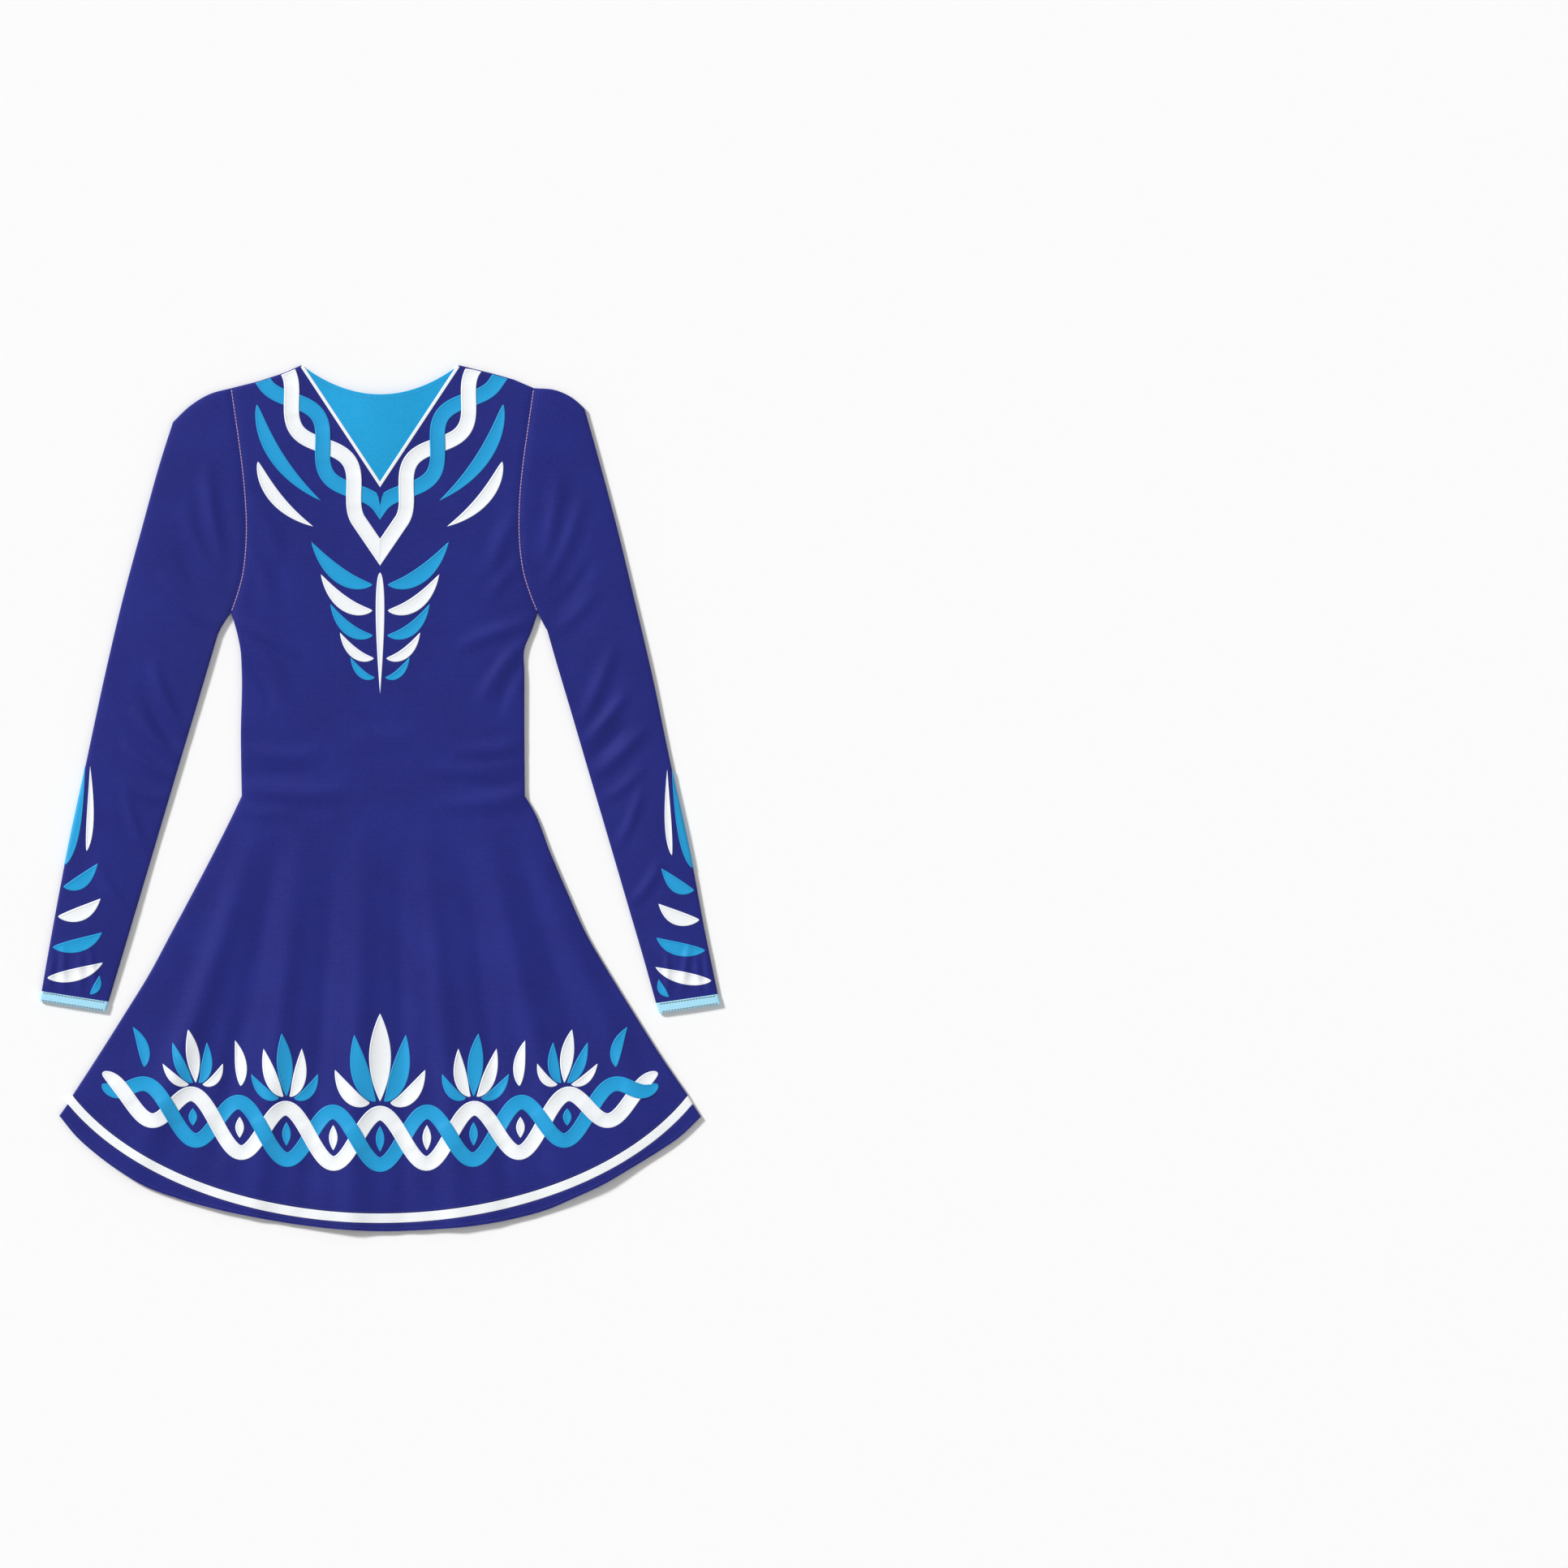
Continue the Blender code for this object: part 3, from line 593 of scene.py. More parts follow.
    def bottom(self, plan: Array) -> Array:
        """Height of the lower layer's outer face: flat, but for the slider's lift and shallow hollows."""
        room = smooth(self.loft(plan) / (self.roll_rise + self.loft_rise))
        hollows = sum(crease.relief(plan) for crease in self.lower)
        return self.lift(plan) + np.maximum(hollows, 0) * room

    def face(self, layer: Layer, plan: Array) -> Array:
        """Height of one layer's outer face."""
        return self.top(plan) if layer is Layer.FRONT else self.bottom(plan)


# Meshes


@dataclass
class Surface:
    """Points, faces of four, places in the cloth for its pattern, and the distance from its edge."""

    points: Array
    faces: Array
    uv: Array
    edge: Array | None = None


def grid_faces(rows: int, columns: int, closed: bool = False) -> Array:
    """Faces of a grid of points held row by row.

    Args:
        rows: the number of rows.
        columns: the number of points in a row.
        closed: whether the last column joins the first.

    Returns:
        Each face's four indices: a point, the next across, and the two in the next row.
    """
    r, c = np.meshgrid(np.arange(rows - 1), np.arange(columns if closed else columns - 1), indexing="ij")
    n = (c + 1) % columns
    corners = (r * columns + c, r * columns + n, (r + 1) * columns + n, (r + 1) * columns + c)
    return np.stack(corners, axis=-1).reshape(-1, 4)


def repeated(faces: Array, points: int, count: int) -> Array:
    """One shape's faces for each of its copies, whose points follow one another."""
    return (faces[None] + (np.arange(count) * points)[:, None, None]).reshape(-1, 4)


def facing_out(surface: Surface) -> Surface:
    """The closed surface with its faces turned outwards, by the sign of the volume that they enclose."""
    p = surface.points[surface.faces]
    volume = np.einsum("ij,ij->", np.cross(p[:, 0], p[:, 1]), p[:, 2])
    volume += np.einsum("ij,ij->", np.cross(p[:, 0], p[:, 2]), p[:, 3])
    if volume < 0:
        surface.faces = surface.faces[:, ::-1]
    return surface


def shell(outer: Array, inner: Array, uv: Array, closed: bool = False) -> Surface:
    """A thin closed wall between two grids of points, which share the points of the outer one's border.

    Args:
        outer: rows by columns by 3.
        inner: the same for the other face, whose border isn't used.
        uv: rows by columns by 2.
        closed: whether the last column joins the first, as round a tube.

    Returns:
        The closed surface.
    """
    rows, columns = outer.shape[:2]
    own = np.zeros((rows, columns), bool)
    own[1:-1, slice(None) if closed else slice(1, -1)] = True
    index = np.arange(rows * columns).reshape(rows, columns)
    index[own] = rows * columns + np.arange(own.sum())
    faces = grid_faces(rows, columns, closed)
    points = np.concatenate([outer.reshape(-1, 3), inner[own]])
    faces = np.concatenate([faces, index.reshape(-1)[faces][:, ::-1]])
    return facing_out(Surface(points, faces, np.concatenate([uv.reshape(-1, 2), uv[own]])))


def joined(surfaces: list[Surface]) -> Surface:
    """Several surfaces as one."""
    starts = np.cumsum([0] + [len(s.points) for s in surfaces[:-1]])
    edges = [np.zeros(len(s.points)) if s.edge is None else s.edge for s in surfaces]
    return Surface(
        np.concatenate([s.points for s in surfaces]),
        np.concatenate([s.faces + start for s, start in zip(surfaces, starts)]),
        np.concatenate([s.uv for s in surfaces]),
        np.concatenate(edges),
    )


def linked(name: str, data: bpy.types.ID) -> Object:
    """A new object, put in the scene."""
    made = bpy.data.objects.new(name, data)
    bpy.context.scene.collection.objects.link(made)
    return made


def make_object(name: str, surface: Surface, material: bpy.types.Material) -> Object:
    """An object in the frame's metres from a surface in millimetres.

    Args:
        name: the piece's name.
        surface: its points, faces, places in the cloth and distances from its edge.
        material: its finish.

    Returns:
        The object, at the origin, shaded smooth.
    """
    mesh = bpy.data.meshes.new(name)
    placed = (surface.points - np.array([0.0, MIDDLE_HEIGHT, 0.0])) * MM
    mesh.from_pydata(placed.tolist(), [], surface.faces.tolist())
    layer = mesh.uv_layers.new(name="cloth_mm")
    layer.uv.foreach_set("vector", surface.uv[surface.faces.reshape(-1)].astype(np.float32).ravel())
    if surface.edge is not None:
        edge = mesh.attributes.new("edge_mm", "FLOAT", "POINT")
        edge.data.foreach_set("value", surface.edge.astype(np.float32))
    mesh.polygons.foreach_set("use_smooth", np.ones(len(surface.faces), bool))
    mesh.materials.append(material)
    mesh.validate()
    log.info("%s: %d faces", name, len(surface.faces))
    return linked(name, mesh)


def seat(piece: Object, nodes: tuple[str, ...] = ()) -> None:
    """Rides a piece on the dress, and lets it stand for its solids."""
    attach(piece, DRESS)
    if nodes:
        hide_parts(*nodes)


def make_piece(
    name: str, surface: Surface, material: bpy.types.Material, slot: str, nodes: tuple[str, ...] = ()
) -> Object:
    """An object that is made and seated in one step."""
    piece = make_object(name, surface, material)
    seat(piece, nodes)
    return piece


# Finishes


def linear(hex_colour: str) -> tuple[float, float, float, float]:
    """An sRGB hex colour as linear RGBA: ((c + 0.055) / 1.055)^2.4, or c / 12.92 where it is dark."""
    parts = [int(hex_colour[i : i + 2], 16) / 255 for i in (1, 3, 5)]
    values = [c / 12.92 if c <= 0.04045 else ((c + 0.055) / 1.055) ** 2.4 for c in parts]
    return (*values, 1.0)


MATH, MIX, RANGE = "ShaderNodeMath", "ShaderNodeMix", "ShaderNodeMapRange"
VECTOR, SPLIT = "ShaderNodeVectorMath", "ShaderNodeSeparateXYZ"
NOISE, BUMP = "ShaderNodeTexNoise", "ShaderNodeBump"
UV, PLACE = "ShaderNodeUVMap", "ShaderNodeTexCoord"
SHADER, OUTPUT = "ShaderNodeBsdfPrincipled", "ShaderNodeOutputMaterial"
IN_COLOUR = {"data_type": "RGBA"}  # settings that several nodes share
SMOOTHLY = {"interpolation_type": "SMOOTHSTEP"}


def add(tree: bpy.types.NodeTree, kind: str, inputs: dict | None = None, **settings) -> Node:
    """Adds a node with its settings, values and links.

    Args:
        tree: the material's nodes.
        kind: the node's type.
        inputs: for each input's name or number, a value, a socket to link, or a node whose first output
            is linked.
        settings: the node's own properties.

    Returns:
        The node.
    """
    made = tree.nodes.new(kind)
    for key, value in settings.items():
        setattr(made, key, value)
    for key, value in (inputs or {}).items():
        if isinstance(value, Node):
            value = next(socket for socket in value.outputs if socket.enabled)
        if isinstance(value, bpy.types.NodeSocket):
            tree.links.new(value, made.inputs[key])
        else:
            made.inputs[key].default_value = value
    return made


@dataclass(frozen=True)
class Finish:
    """A material whose nodes a subclass lays out."""

    name: str
    colour: str

    def shader(self, put: Put) -> Node:
        """The finish's surface shader, with all that feeds it; put adds a node to the material."""
        raise NotImplementedError

    def make(self) -> bpy.types.Material:
        """The material."""
        material = bpy.data.materials.new(self.name)
        material.use_nodes = True
        tree = material.node_tree
        tree.nodes.clear()
        put = partial(add, tree)
        put(OUTPUT, {"Surface": self.shader(put)})
        return material


@dataclass(frozen=True)
class StretchKnit(Finish):
    """Warp-knitted nylon and elastane, dyed and heat-set.

    It gives the eye fine columns of slanted stitches with a painted highlight on their backs, a soft silky
    sheen and a slightly uneven dye. The real stitches are about 0.5 mm wide: they are drawn 2.8 mm wide, so
    that they show in the render.
    """

    shade: str  # where the dye is a little deeper
    # painted highlight on the stitches' backs; it also tints the sheen
    light: str  # on the stitches' backs
    sheen: float = 0.06
    roughness: float = 0.6
    wale: float = 2.8
    course: float = 2.3
    depth: float = 0.2

    def shader(self, put: Put) -> Node:
        """Each column has two legs, and yarns that slant with their distance from the column's edge."""
        rate = (1 / self.wale, 1 / self.course, 0)
        scaled = put(VECTOR, {0: put(UV, uv_map="cloth_mm"), 1: rate}, operation="MULTIPLY")
        spot = put(SPLIT, {0: scaled})
        side = put(MATH, {0: spot.outputs["X"], 1: 0.5}, operation="PINGPONG")
        slant = put(MATH, {0: side, 1: 1.1, 2: spot.outputs["Y"]}, operation="MULTIPLY_ADD")
        rise = put(MATH, {0: slant, 1: 0.5}, operation="PINGPONG")
        yarn = put(RANGE, {"Value": rise, "From Max": 0.5}, **SMOOTHLY)
        across = put(MATH, {0: spot.outputs["X"], 1: 0.25}, operation="PINGPONG")
        leg = put(RANGE, {"Value": across, "From Max": 0.2, "To Min": 0.25}, **SMOOTHLY)
        stitch = put(MATH, {0: yarn, 1: leg}, operation="MULTIPLY")
        place = put(PLACE).outputs["Object"]
        fine = put(NOISE, {"Vector": place, "Scale": 1 / (3.5 * MM), "Detail": 2.0})
        wide = put(NOISE, {"Vector": place, "Scale": 1 / (60 * MM), "Detail": 2.0})
        dye = put(RANGE, {"Value": wide, "From Min": 0.36, "From Max": 0.64})
        ground = put(MIX, {"Factor": dye, "A": linear(self.shade), "B": linear(self.colour)}, **IN_COLOUR)
        lit = put(RANGE, {"Value": fine, "From Min": 0.25, "From Max": 0.75})
        # painted highlight: the stitches' raised yarn, flecked by noise, is mixed towards the light colour
        stitch_highlight = put(MATH, {0: stitch, 1: lit}, operation="MULTIPLY")
        colour = put(MIX, {"Factor": stitch_highlight, "A": ground, "B": linear(self.light)}, **IN_COLOUR)
        dull = put(MATH, {0: fine, 1: 0.12, 2: self.roughness - 0.06}, operation="MULTIPLY_ADD")
        bump = put(BUMP, {"Height": stitch, "Strength": 0.6, "Distance": self.depth * MM})
        look = {"Base Color": colour, "Roughness": dull, "Normal": bump, "Sheen Weight": self.sheen}
        return put(SHADER, look | {"Sheen Tint": linear(self.light), "Specular IOR Level": 0.22})


@dataclass(frozen=True)
class SatinApplique(Finish):
    """Stretch satin cut to shape and sewn down round its edge with a close satin stitch.

    It gives the eye a smooth field with a fine diagonal twill, and a raised border of thread across the
    edge. The real threads are 0.4 mm apart: they are drawn 1.1 mm apart, so that they show.
    """

    # painted shade for the groove line, and the mottle's deeper tone
    shade: str
    border: float = 1.9
    thread: float = 1.1
    twill: float = 1.5

    def shader(self, put: Put) -> Node:
        """Threads run across the border, a diagonal twill over the field, and painted shade darkens the
        groove between.
        """
        spot = put(SPLIT, {0: put(UV, uv_map="cloth_mm")})
        edge = put("ShaderNodeAttribute", attribute_name="edge_mm").outputs["Fac"]
        field = put(RANGE, {"Value": edge, "From Min": self.border - 0.25, "From Max": self.border + 0.1})
        thread = put(MATH, {0: spot.outputs["X"], 1: self.thread}, operation="PINGPONG")
        slope = put(MATH, {0: spot.outputs["X"], 1: spot.outputs["Y"]}, operation="ADD")
        twill = put(MATH, {0: slope, 1: self.twill / 2}, operation="PINGPONG")
        height = put(MIX, {"Factor": field, "A": thread, "B": twill})
        # painted shade: a dark line along the groove where the border meets the field
        off = put(MATH, {0: edge, 1: self.border}, operation="SUBTRACT")
        away = put(MATH, {0: off}, operation="ABSOLUTE")
        line = put(RANGE, {"Value": away, "From Max": 0.5, "To Min": 0.45, "To Max": 0.0})
        fine = put(NOISE, {"Vector": put(PLACE).outputs["Object"], "Scale": 1 / (3 * MM), "Detail": 2.0})
        # random mottle from noise, plus the painted groove shade
        worn = put(MATH, {0: fine, 1: 0.25, 2: line}, operation="MULTIPLY_ADD")
        colour = put(MIX, {"Factor": worn, "A": linear(self.colour), "B": linear(self.shade)}, **IN_COLOUR)
        dull = put(MATH, {0: fine, 1: 0.2, 2: 0.34}, operation="MULTIPLY_ADD")
        bump = put(BUMP, {"Height": height, "Strength": 0.5, "Distance": 0.2 * MM})
        look = {"Base Color": colour, "Roughness": dull, "Normal": bump}
        return put(SHADER, look | {"Sheen Weight": 0.08, "Specular IOR Level": 0.35})


@dataclass(frozen=True)
class RibbedElastic(Finish):
    """Woven elastic whose ribs run round the cuff, with painted shade in the narrow valleys between them."""

    # painted shade for the valleys between the ribs
    shade: str
    rib: float = 1.45
    weft: float = 0.9

    def shader(self, put: Put) -> Node:
        """Ribs follow one another along the band's depth, crossed by a finer weft; their valleys are painted
        darker as shade.
        """
        spot = put(SPLIT, {0: put(UV, uv_map="cloth_mm")})
        rib = put(MATH, {0: spot.outputs["Y"], 1: self.rib / 2}, operation="PINGPONG")
        round_rib = put(RANGE, {"Value": rib, "From Max": self.rib / 2}, **SMOOTHLY)
        weft = put(MATH, {0: spot.outputs["X"], 1: self.weft / 2}, operation="PINGPONG")
        height = put(MATH, {0: weft, 1: 0.5, 2: round_rib}, operation="MULTIPLY_ADD")
        fine = put(NOISE, {"Vector": put(PLACE).outputs["Object"], "Scale": 1 / (2.5 * MM), "Detail": 2.0})
        # painted shade: the low places between the ribs, flecked by noise, go towards the shade colour
        dark = put(RANGE, {"Value": height, "From Max": 0.9, "To Min": 0.8, "To Max": 0.0})
        share = put(MATH, {0: dark, 1: fine}, operation="MULTIPLY")
        colour = put(MIX, {"Factor": share, "A": linear(self.colour), "B": linear(self.shade)}, **IN_COLOUR)
        bump = put(BUMP, {"Height": height, "Strength": 0.6, "Distance": 0.2 * MM})
        look = {"Base Color": colour, "Roughness": 0.55, "Normal": bump}
        return put(SHADER, look | {"Sheen Weight": 0.1, "Specular IOR Level": 0.25})


@dataclass(frozen=True)
class SewingThread(Finish):
    """Spun polyester thread, whose two plies are painted in slanting bands of light and shade."""

    # painted shade on the plies' sides
    shade: str
    ply: float = 0.7

    def shader(self, put: Put) -> Node:
        """Plies follow one another along the stitch and slant across it."""
        spot = put(SPLIT, {0: put(UV, uv_map="cloth_mm")})
        slope = put(MATH, {0: spot.outputs["Y"], 1: 0.8, 2: spot.outputs["X"]}, operation="MULTIPLY_ADD")
        ply = put(MATH, {0: slope, 1: self.ply / 2}, operation="PINGPONG")
        share = put(RANGE, {"Value": ply, "From Max": self.ply / 2}, **SMOOTHLY)
        # painted light and shade: each ply is lighter on its crown and darker at its sides
        colour = put(MIX, {"Factor": share, "A": linear(self.shade), "B": linear(self.colour)}, **IN_COLOUR)
        bump = put(BUMP, {"Height": share, "Strength": 0.5, "Distance": 0.1 * MM})
        return put(SHADER, {"Base Color": colour, "Roughness": 0.55, "Normal": bump, "Sheen Weight": 0.1})


@dataclass(frozen=True)
class BakedEnamel(Finish):
    """Zinc alloy under baked enamel: an even dark coat with a faint orange peel, worn in scattered spots."""

    worn: str

    def shader(self, put: Put) -> Node:
        """The coat is lighter where noise of 1.4 mm is high, over a grain of 0.5 mm."""
        place = put(PLACE).outputs["Object"]
        noise = put(NOISE, {"Vector": place, "Scale": 1 / (1.4 * MM), "Detail": 4.0})
        spots = put(RANGE, {"Value": noise, "From Min": 0.6, "From Max": 0.78})
        colour = put(MIX, {"Factor": spots, "A": linear(self.colour), "B": linear(self.worn)}, **IN_COLOUR)
        dull = put(MATH, {0: spots, 1: 0.15, 2: 0.32}, operation="MULTIPLY_ADD")
        grain = put(NOISE, {"Vector": place, "Scale": 1 / (0.5 * MM), "Detail": 2.0})
        bump = put(BUMP, {"Height": grain, "Strength": 0.25, "Distance": 0.03 * MM})
        return put(SHADER, {"Base Color": colour, "Roughness": dull, "Normal": bump, "Metallic": 0.35})


@dataclass(frozen=True)
class PaintedBoard(Finish):
    """A smooth board in matt white paint, with a faint roller texture."""

    def shader(self, put: Put) -> Node:
        """An even coat with a bump of 4 mm noise."""
        noise = put(NOISE, {"Vector": put(PLACE).outputs["Object"], "Scale": 1 / (4 * MM), "Detail": 2.0})
        bump = put(BUMP, {"Height": noise, "Strength": 0.08, "Distance": 0.1 * MM})
        return put(SHADER, {"Base Color": linear(self.colour), "Roughness": 0.8, "Normal": bump})


class Finishes:
    """Every finish of the dress, made once."""

    def __init__(self) -> None:
        """Makes the materials."""
        self.navy = StretchKnit("navy_stretch_knit", "#1D247B", "#1A2073", "#262D8B").make()
        self.sky = StretchKnit("sky_stretch_knit", "#15A0DA", "#1099D3", "#30ACE3").make()
        self.white = StretchKnit("white_stretch_knit", "#F8FBFC", "#F0F4F7", "#FDFEFF").make()
        self.white_satin = SatinApplique("white_satin_applique", "#FBFDFE", "#CBD4E2").make()
        self.sky_satin = SatinApplique("sky_satin_applique", "#18A2DC", "#107CBA").make()
        self.elastic = RibbedElastic("pale_blue_elastic", "#B0E9FF", "#86C6EC").make()
        self.navy_thread = SewingThread("navy_thread", "#3B4191", "#262B70").make()
        self.mauve_thread = SewingThread("mauve_thread", "#C9A3C4", "#A583A8").make()
        self.sky_thread = SewingThread("sky_thread", "#2AA4DC", "#1B86BE").make()
        self.grey_thread = SewingThread("grey_thread", "#8C9C9E", "#73848A").make()
        self.zip_tape = RibbedElastic("zip_tape_weave", "#404546", "#2E3233", rib=0.9).make()
        self.coil = SewingThread("nylon_coil", "#5E6567", "#44494B", ply=1.3).make()
        self.enamel = BakedEnamel("charcoal_enamel", "#404546", "#6C7274").make()
        self.floor = PaintedBoard("white_board", "#FCFCFC").make()


# The body


@dataclass(frozen=True)
class Borders:
    """Which edges of a cloth piece are seams between the layers, in shares from 0, free, to 1, joined."""

    left: Array | float = 0.0
    right: Array | float = 0.0
    top: Array | float = 0.0
    bottom: Array | float = 0.0


@dataclass(frozen=True)
class Body:
    """Front and back: panel, yoke, hem stripe and hem border, each a thin shell on its solid's form."""

    form: Form
    finishes: Finishes
    seam_gap: float = 0.12  # half of the groove between two pieces
    row_step: float = 4.6
    shoulder_columns: int = 22
    neck_columns: int = 30
    yoke_columns: int = 64
    yoke_rows: int = 34
    hem_columns: int = 160
    zip_half_width: float = 4.3
    zip_foot: float = 707.7
    zip_head: float = 862.3
    zip_reach: tuple[float, float] = (-10.0, 20.0)  # the heights that its opening is cut between
    tip_share: float = 0.014  # the yoke's first row lies this share of the way from its tip to the neck
    panel_flat: Point = (0.66, 0.90)
    yoke_flat: Point = (0.175, 0.125)
    stripe_flat: Point = (0.71, 0.012)
    border_flat: Point = (0.73, 0.016)

    def wall(self, layer: Layer, plan: Array, borders: Borders) -> Surface:
        """A closed shell over a plan grid, rounded at free edges and drawn together at the seams.

        At a distance d in from an edge, both faces have left the edge's own height by a quarter circle's
        share of d over the radius: half the wall at a free edge, and half of both layers at a seam.

        Args:
            layer: the front or the back.
            plan: rows by columns of plan points.
            borders: which edges are joined to the other layer.

        Returns:
            The shell.
        """
        form = self.form
        face = form.face(layer, plan)
        inwards = -1.0 if layer is Layer.FRONT else 1.0
        down = run_lengths(plan)
        over = run_lengths(plan.transpose(1, 0, 2)).T
        depth = np.abs(face - form.middle)
        half = form.wall / 2
        free, seam = np.zeros(face.shape), np.zeros(face.shape)
        edges = (
            (over, np.reshape(borders.left, (-1, 1))),
            (over[:, -1:] - over, np.reshape(borders.right, (-1, 1))),
            (down, np.reshape(borders.bottom, (1, -1))),
            (down[-1:] - down, np.reshape(borders.top, (1, -1))),
        )
        for inset, joins in edges:
            free = np.maximum(free, (1 - joins) * (1 - rounded(inset / half)))
            seam = np.maximum(seam, joins * (1 - rounded(inset / form.middle)))
        outer = face + inwards * np.maximum(half * free, depth * seam)
        inner = face + inwards * (form.wall - half * free + np.maximum(depth - form.wall, 0) * seam)
        return shell(at_height(plan, outer), at_height(plan, inner), plan)

    def side_parts(self, side: Side) -> tuple[Array, Array, Array]:
        """The side seam of the skirt from the stripe up, that of the bodice, and the armhole."""
        cut = self.form.cut
        end = cut.stripe_upper.end_x * side.value
        start = [end, cut.stripe_upper.height(end) + self.seam_gap]
        skirt = np.concatenate([[start], cut.side(cut.skirt, side)])
        return skirt, cut.side(cut.skirt[-1:] + cut.bodice, side), cut.armhole(side)[::-1]

    def side_edge(self, side: Side) -> Array:
        """The panel's edge from the stripe up to the shoulder, with as many points on both sides."""
        counts = [round(run_lengths(part)[-1] / self.row_step) for part in self.side_parts(Side.LEFT)]
        skirt, bodice, hole = self.side_parts(side)
        low = spline(skirt, graded(run_lengths(skirt)[-1], counts[0], far=False))
        middle = spline(bodice, np.linspace(0, 1, counts[1]))
        high = spline(hole, graded(run_lengths(hole)[-1], counts[2], near=False))
        return np.concatenate([low, middle[1:], high[1:]])

    def panel_plan(self) -> Array:
        """The panel's grid, with columns at the neck points and the yoke's tip."""
        cut = self.form.cut
        left, right = (self.side_edge(side) for side in Side)
        low, high = left[-1, 0], right[-1, 0]
        neck = cut.neck_half_width
        spans = (
            low + (-neck - low) * graded(-neck - low, self.shoulder_columns, far=False),
            np.linspace(-neck, 0, self.neck_columns + 1)[1:],
            np.linspace(0, neck, self.neck_columns + 1)[1:],
            neck + (high - neck) * graded(high - neck, self.shoulder_columns, near=False)[1:],
        )
        x = np.concatenate(spans)
        line = np.where(np.abs(x) < neck, cut.yoke_line(x) - self.seam_gap, cut.shoulder_line(x))
        shares = (x - low) / (high - low)
        foot_x = left[0, 0] + (right[0, 0] - left[0, 0]) * shares
        foot = np.stack([foot_x, cut.stripe_upper.height(foot_x) + self.seam_gap], axis=-1)
        return patch(foot, np.stack([x, line], axis=-1), left, right)

    def panel(self, layer: Layer) -> Surface:
        """The front or back panel."""
        plan = self.panel_plan()
        underarm = self.form.cut.bodice[-1].height
        sides = smooth((underarm + 2 - plan[:, 0, 1]) / 4)
        joins = smooth((np.abs(plan[-1, :, 0]) - self.form.cut.neck_half_width) / 2)
        return self.wall(layer, plan, Borders(left=sides, right=sides, top=joins))

    def yoke(self, layer: Layer) -> Surface:
        """The yoke: straight lines from its tip fan out to the neck edge."""
        cut = self.form.cut
        half = cut.neck_half_width - 2 * self.seam_gap
        x = -half + 2 * half * graded(2 * half, self.yoke_columns)
        neck = np.stack([x, cut.neck(x)], axis=-1)
        tip = np.array([0.0, cut.yoke_tip + 2 * self.seam_gap])
        rows = graded(cut.length - cut.yoke_tip, self.yoke_rows)
        share = (self.tip_share + (1 - self.tip_share) * rows)[:, None, None]
        return self.wall(layer, neck * share + tip * (1 - share), Borders())

    def band(self, layer: Layer, lower: Array, upper: Array, rows: int) -> Surface:
        """A strip along the hem, between its lower and upper edge."""
        shares = graded(2 * self.form.cut.stripe_lower.end_x, self.hem_columns)
        low, high = spline(lower, shares), spline(upper, shares)
        up = graded(float(np.linalg.norm(high - low, axis=1).mean()), rows)[:, None, None]
        sides = np.ones(len(up))
        return self.wall(layer, low * (1 - up) + high * up, Borders(left=sides, right=sides))

    def arc(self, arc: Arc, shift: float) -> Array:
        """Points along one edge of the hem stripe, shifted up."""
        x = np.linspace(-arc.end_x, arc.end_x, 81)
        return np.stack([x, arc.height(x) + shift], axis=-1)

    def open_slot(self, piece: Object) -> Object:
        """Cuts the zip's opening out of a back piece with a box."""
        wide = (-self.zip_half_width, self.zip_half_width)
        long = (self.zip_foot - MIDDLE_HEIGHT, self.zip_head - MIDDLE_HEIGHT)
        corners = np.array([(x, y, z) for z in self.zip_reach for y in long for x in wide]) * MM
        faces = [(0, 2, 3, 1), (4, 5, 7, 6), (0, 1, 5, 4), (2, 6, 7, 3), (0, 4, 6, 2), (1, 3, 7, 5)]
        mesh = bpy.data.meshes.new("zip_opening")
        mesh.from_pydata(corners.tolist(), [], faces)
        box = linked("zip_opening", mesh)
        cut = piece.modifiers.new("zip_opening", "BOOLEAN")
        cut.operation = "DIFFERENCE"
        cut.solver = "EXACT"
        cut.object = box
        bpy.context.view_layer.update()
        evaluated = piece.evaluated_get(bpy.context.evaluated_depsgraph_get())
        finished = bpy.data.meshes.new_from_object(evaluated)
        piece.modifiers.remove(cut)
        piece.data = finished
        bpy.data.objects.remove(box)
        return piece

    def make(self, layer: Layer) -> list[Object]:
        """Builds one layer's four pieces."""
        cut, name = self.form.cut, layer.value
        lower, upper = cut.stripe_lower, cut.stripe_upper
        gap = self.seam_gap
        border = self.band(layer, np.array(cut.hem, float), self.arc(lower, -gap), 6)
        stripe = self.band(layer, self.arc(lower, gap), self.arc(upper, -gap), 6)
        rows = (
            ("panel", self.panel(layer), self.finishes.navy, "dress_knit", self.panel_flat, 0.322),
            ("yoke", self.yoke(layer), self.finishes.sky, "yoke_knit", self.yoke_flat, 0.0075),
            ("hem_stripe", stripe, self.finishes.white, "stripe_knit", self.stripe_flat, 0.0067),
            ("hem_border", border, self.finishes.navy, "dress_knit", self.border_flat, 0.0083),
        )
        made = []
        for node, surface, material, slot, flat, area in rows:
            piece = make_object(f"{name}_{node}_cloth", surface, material)
            if layer is Layer.BACK and node in ("panel", "yoke"):
                self.open_slot(piece)
            seat(piece, (f"{name}_{node}",))
            made.append(piece)
        return made


# The sleeves


FOLD_STEPS = np.array([0.0, 0.08, 0.2, 0.38, 0.6, 0.85, 1.1, 1.35, 1.9, 3.0, 5.0])  # places in from a fold


